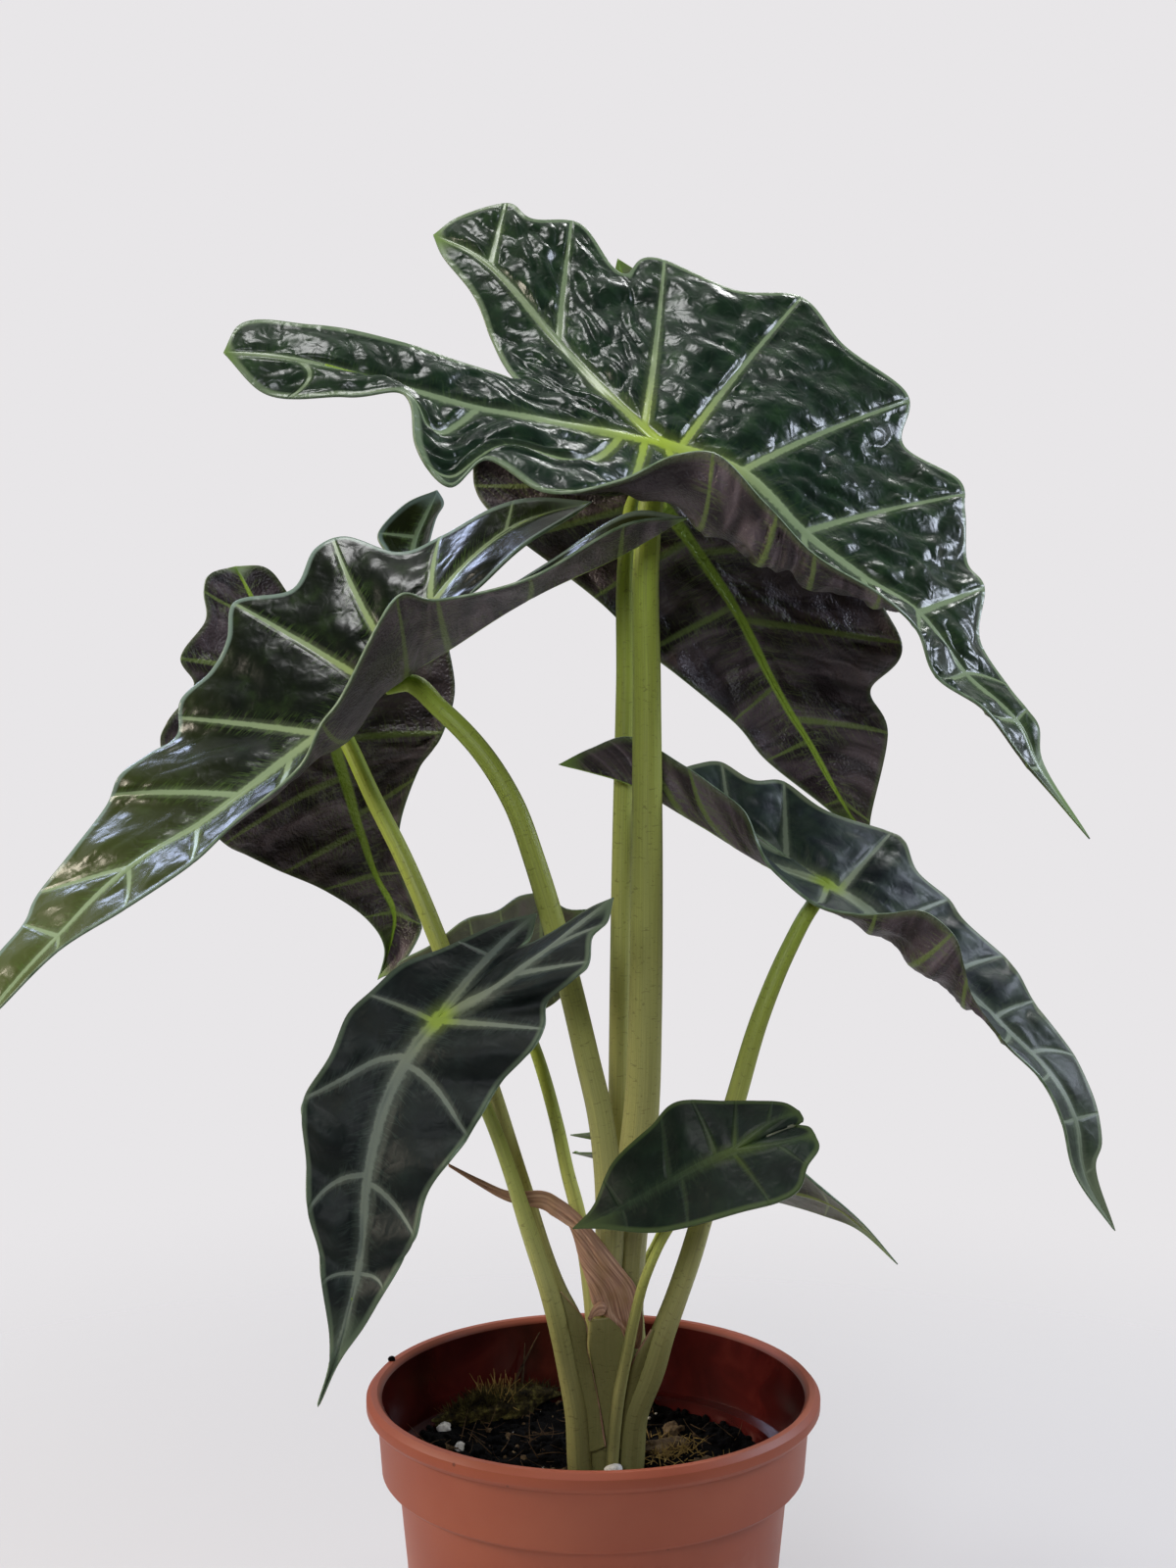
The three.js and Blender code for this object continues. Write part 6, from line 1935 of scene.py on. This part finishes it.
sheath = {
    "thick": 0.35,
    "curl": 2.2,  # how far it bows forward between its edges
    "fold": 0.1,  # depth of its crease as a share of its width
    "crumple": 0.35,  # height of its wrinkles
    "edges": [  # pairs of opposite edge places, from the curled tail to the torn foot
        ((-35.7, 160.2, -18.7), (-35.5, 159.5, -18.7)),
        ((-27.5, 156.2, -17.7), (-28, 154.7, -17.7)),
        ((-20.2, 153.2, -15.7), (-20.7, 150.7, -15.7)),
        ((-11.7, 153.2, -13.7), (-12, 148.7, -14.7)),
        ((-7, 151, -13.7), (-9.2, 147, -15.7)),
        ((-2, 147, -15.2), (-5.7, 144.7, -16.7)),
        ((1.7, 142.5, -16.7), (-4.2, 143, -17.1)),
        ((7.5, 135, -16.3), (-2, 135.2, -17.1)),
        ((12.2, 128.7, -13.2), (0, 129.2, -16.5)),
        ((13.7, 122, -10.5), (1.7, 123.7, -15.5)),
        ((13.7, 116.5, -9.7), (7.5, 119, -13.7)),
        ((13, 113, -10.1), (12, 113.2, -10.5)),
    ],
}


def paperySkin():
    # A dead leaf sheath: dry, papery and rose-brown, with pale veins 0.6 mm apart and ochre patches of 6 mm.
    material, tree, shader = newMaterial("paperyDriedSheath")
    uv = addNode(tree, "ShaderNodeUVMap").outputs[0]
    spot = addNode(tree, "ShaderNodeTexCoord").outputs["Object"]
    stretched = addNode(tree, "ShaderNodeMapping", {"Vector": uv, "Scale": (1.7, 0.06, 1.0)})
    fibre = addNode(
        tree, "ShaderNodeTexNoise", {"Vector": stretched.outputs[0], "Scale": 1.0, "Detail": 4.0}
    )
    base = addNode(
        tree,
        "ShaderNodeValToRGB",
        {0: fibre.outputs["Fac"]},
        stops=[(0.3, "#86614d"), (0.5, "#b48a70"), (0.7, "#d2ae8f")],
    )
    cloud = addNode(tree, "ShaderNodeTexNoise", {"Vector": spot, "Scale": 160.0, "Detail": 4.0})
    tint = addNode(tree, "ShaderNodeMapRange", {0: cloud.outputs["Fac"], 1: 0.45, 2: 0.7, 3: 0.0, 4: 0.5})
    mixed = addNode(
        tree,
        "ShaderNodeMix",
        {0: tint.outputs[0], 6: base.outputs[0], 7: toLinear("#a5814f")},
        data_type="RGBA",
    )
    tree.links.new(mixed.outputs[2], shader.inputs["Base Color"])
    bump = addNode(
        tree, "ShaderNodeBump", {"Height": fibre.outputs["Fac"], "Strength": 0.7, "Distance": 0.0004}
    )
    tree.links.new(bump.outputs[0], shader.inputs["Normal"])
    shader.inputs["Roughness"].default_value = 0.75
    return material


def laidSheet(name, edges, look, columns=30, fresh=None):
    # a thin sheet between two edges, given as pairs of drawing places, bowed and crumpled
    sides = [[(i, place(pair[side])) for i, pair in enumerate(edges)] for side in (0, 1)]
    numbers = np.linspace(0, len(edges) - 1, len(edges) * 16)
    first, second = along(sides[0], numbers), along(sides[1], numbers)
    share = np.linspace(0, 1, columns)
    width = np.linalg.norm(first - second, axis=1)[:, None]
    points = first[:, None] + (second - first)[:, None] * share[None, :, None]
    bow = np.minimum(look["curl"], 0.16 * width) * 4 * share * (1 - share)
    fold = look["fold"] * width * np.exp(-(((share - 0.55) / 0.1) ** 2))
    points[..., 1] -= bow - fold
    run = distancesAlong(first)
    uv = np.stack([share * width, np.repeat(run[:, None], columns, 1)], axis=2)
    flow = np.stack([uv[..., 0] / 1.6, uv[..., 1] / 9, np.zeros_like(uv[..., 0])], axis=2)
    crumple = lumps(flow, 1, 4) + 0.5 * lumps(points, 2.0, 5)
    points[..., 1] += look["crumple"] * np.minimum(1, width / 5) * crumple
    fields = {} if fresh is None else {"fresh": np.full(uv.shape[:2], fresh)}
    piece = joined([sheetPiece(name, points, fields, uv)], name)
    applied(piece, "SOLIDIFY", thickness=look["thick"] * mm, offset=0)
    return piece


wings = {
    "thick": 0.5,
    "curl": 0.7,
    "fold": 0.0,
    "crumple": 0.12,
    "leftWing": [  # clasps the stalks from the front leaf's stalk, which is the first edge
        ((-7.6, 127.5, -19.5), (-7.0, 127.3, -19)),
        ((-6.5, 120, -17.5), (-0.9, 120, -15.7)),
        ((-5.2, 113.5, -15.2), (-0.4, 113.2, -14)),
        ((-4, 107, -13), (1, 107, -12.8)),
        ((-2.6, 97, -10.5), (3, 97, -12.2)),
        ((-1.8, 86, -8), (4.4, 88, -11.5)),
    ],
    "middleWing": [  # covers the left leaf's stalk
        ((0.6, 120.5, -14.6), (7, 121.5, -14.2)),
        ((0.4, 113, -13.4), (10.2, 113, -12.6)),
        ((1.6, 107, -12.4), (10, 107, -11.9)),
        ((3, 97, -10.9), (8.5, 97, -10.4)),
        ((4, 87, -9.4), (7.5, 87, -8.6)),
    ],
    "rightWing": [  # from the right leaf's stalk
        ((17.2, 118, -9.4), (16.2, 117.8, -10)),
        ((15.5, 112, -9), (12.2, 111, -11)),
        ((14, 106, -8), (9.6, 105, -10.8)),
        ((11.5, 97, -7), (7.2, 97, -9.8)),
        ((10, 86, -5), (6.2, 88, -8)),
    ],
}

# the sheath's torn flap, which curls up behind
curlEdges = [
    ((0, 120.8, -16.4), (0.4, 120, -16.2)),
    ((1.7, 124, -17.2), (1.8, 121.2, -17.6)),
    ((3.4, 125, -17.4), (3.7, 121.6, -18)),
    ((4.8, 123.8, -17), (4.7, 123, -17.2)),
]


def makeSheath():
    papery = paperySkin()
    finished(laidSheet("driedSheath", sheath["edges"], sheath), [papery], ["dried_sheath"])
    finished(laidSheet("driedSheathCurl", curlEdges, {**sheath, "curl": 1.2}, 12), [papery])
    for name in ("leftWing", "middleWing", "rightWing"):
        # the wings take the stalk skin's colour 0.12 of the way up, which is mostly the painted shade of its
        # foot
        finished(laidSheet(name, wings[name], wings, 16, 0.12), [skin])
        rim = [place(pair[1]) for pair in wings[name]]
        numbers = np.linspace(0, len(rim) - 1, 70)
        course = along(list(enumerate(rim)), numbers)
        points, uv, _ = tubeRows(course, np.full(70, 0.3), 8, 3, 0.1)
        finished(joined([sheetPiece(f"{name}Rim", points, uv=uv)], f"{name}Rim"), [papery])


makeSheath()
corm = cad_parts["corm_with_roots"].data
corm.materials.clear()
corm.materials.append(roughSkins["cormSkin"])
print("sheath made")
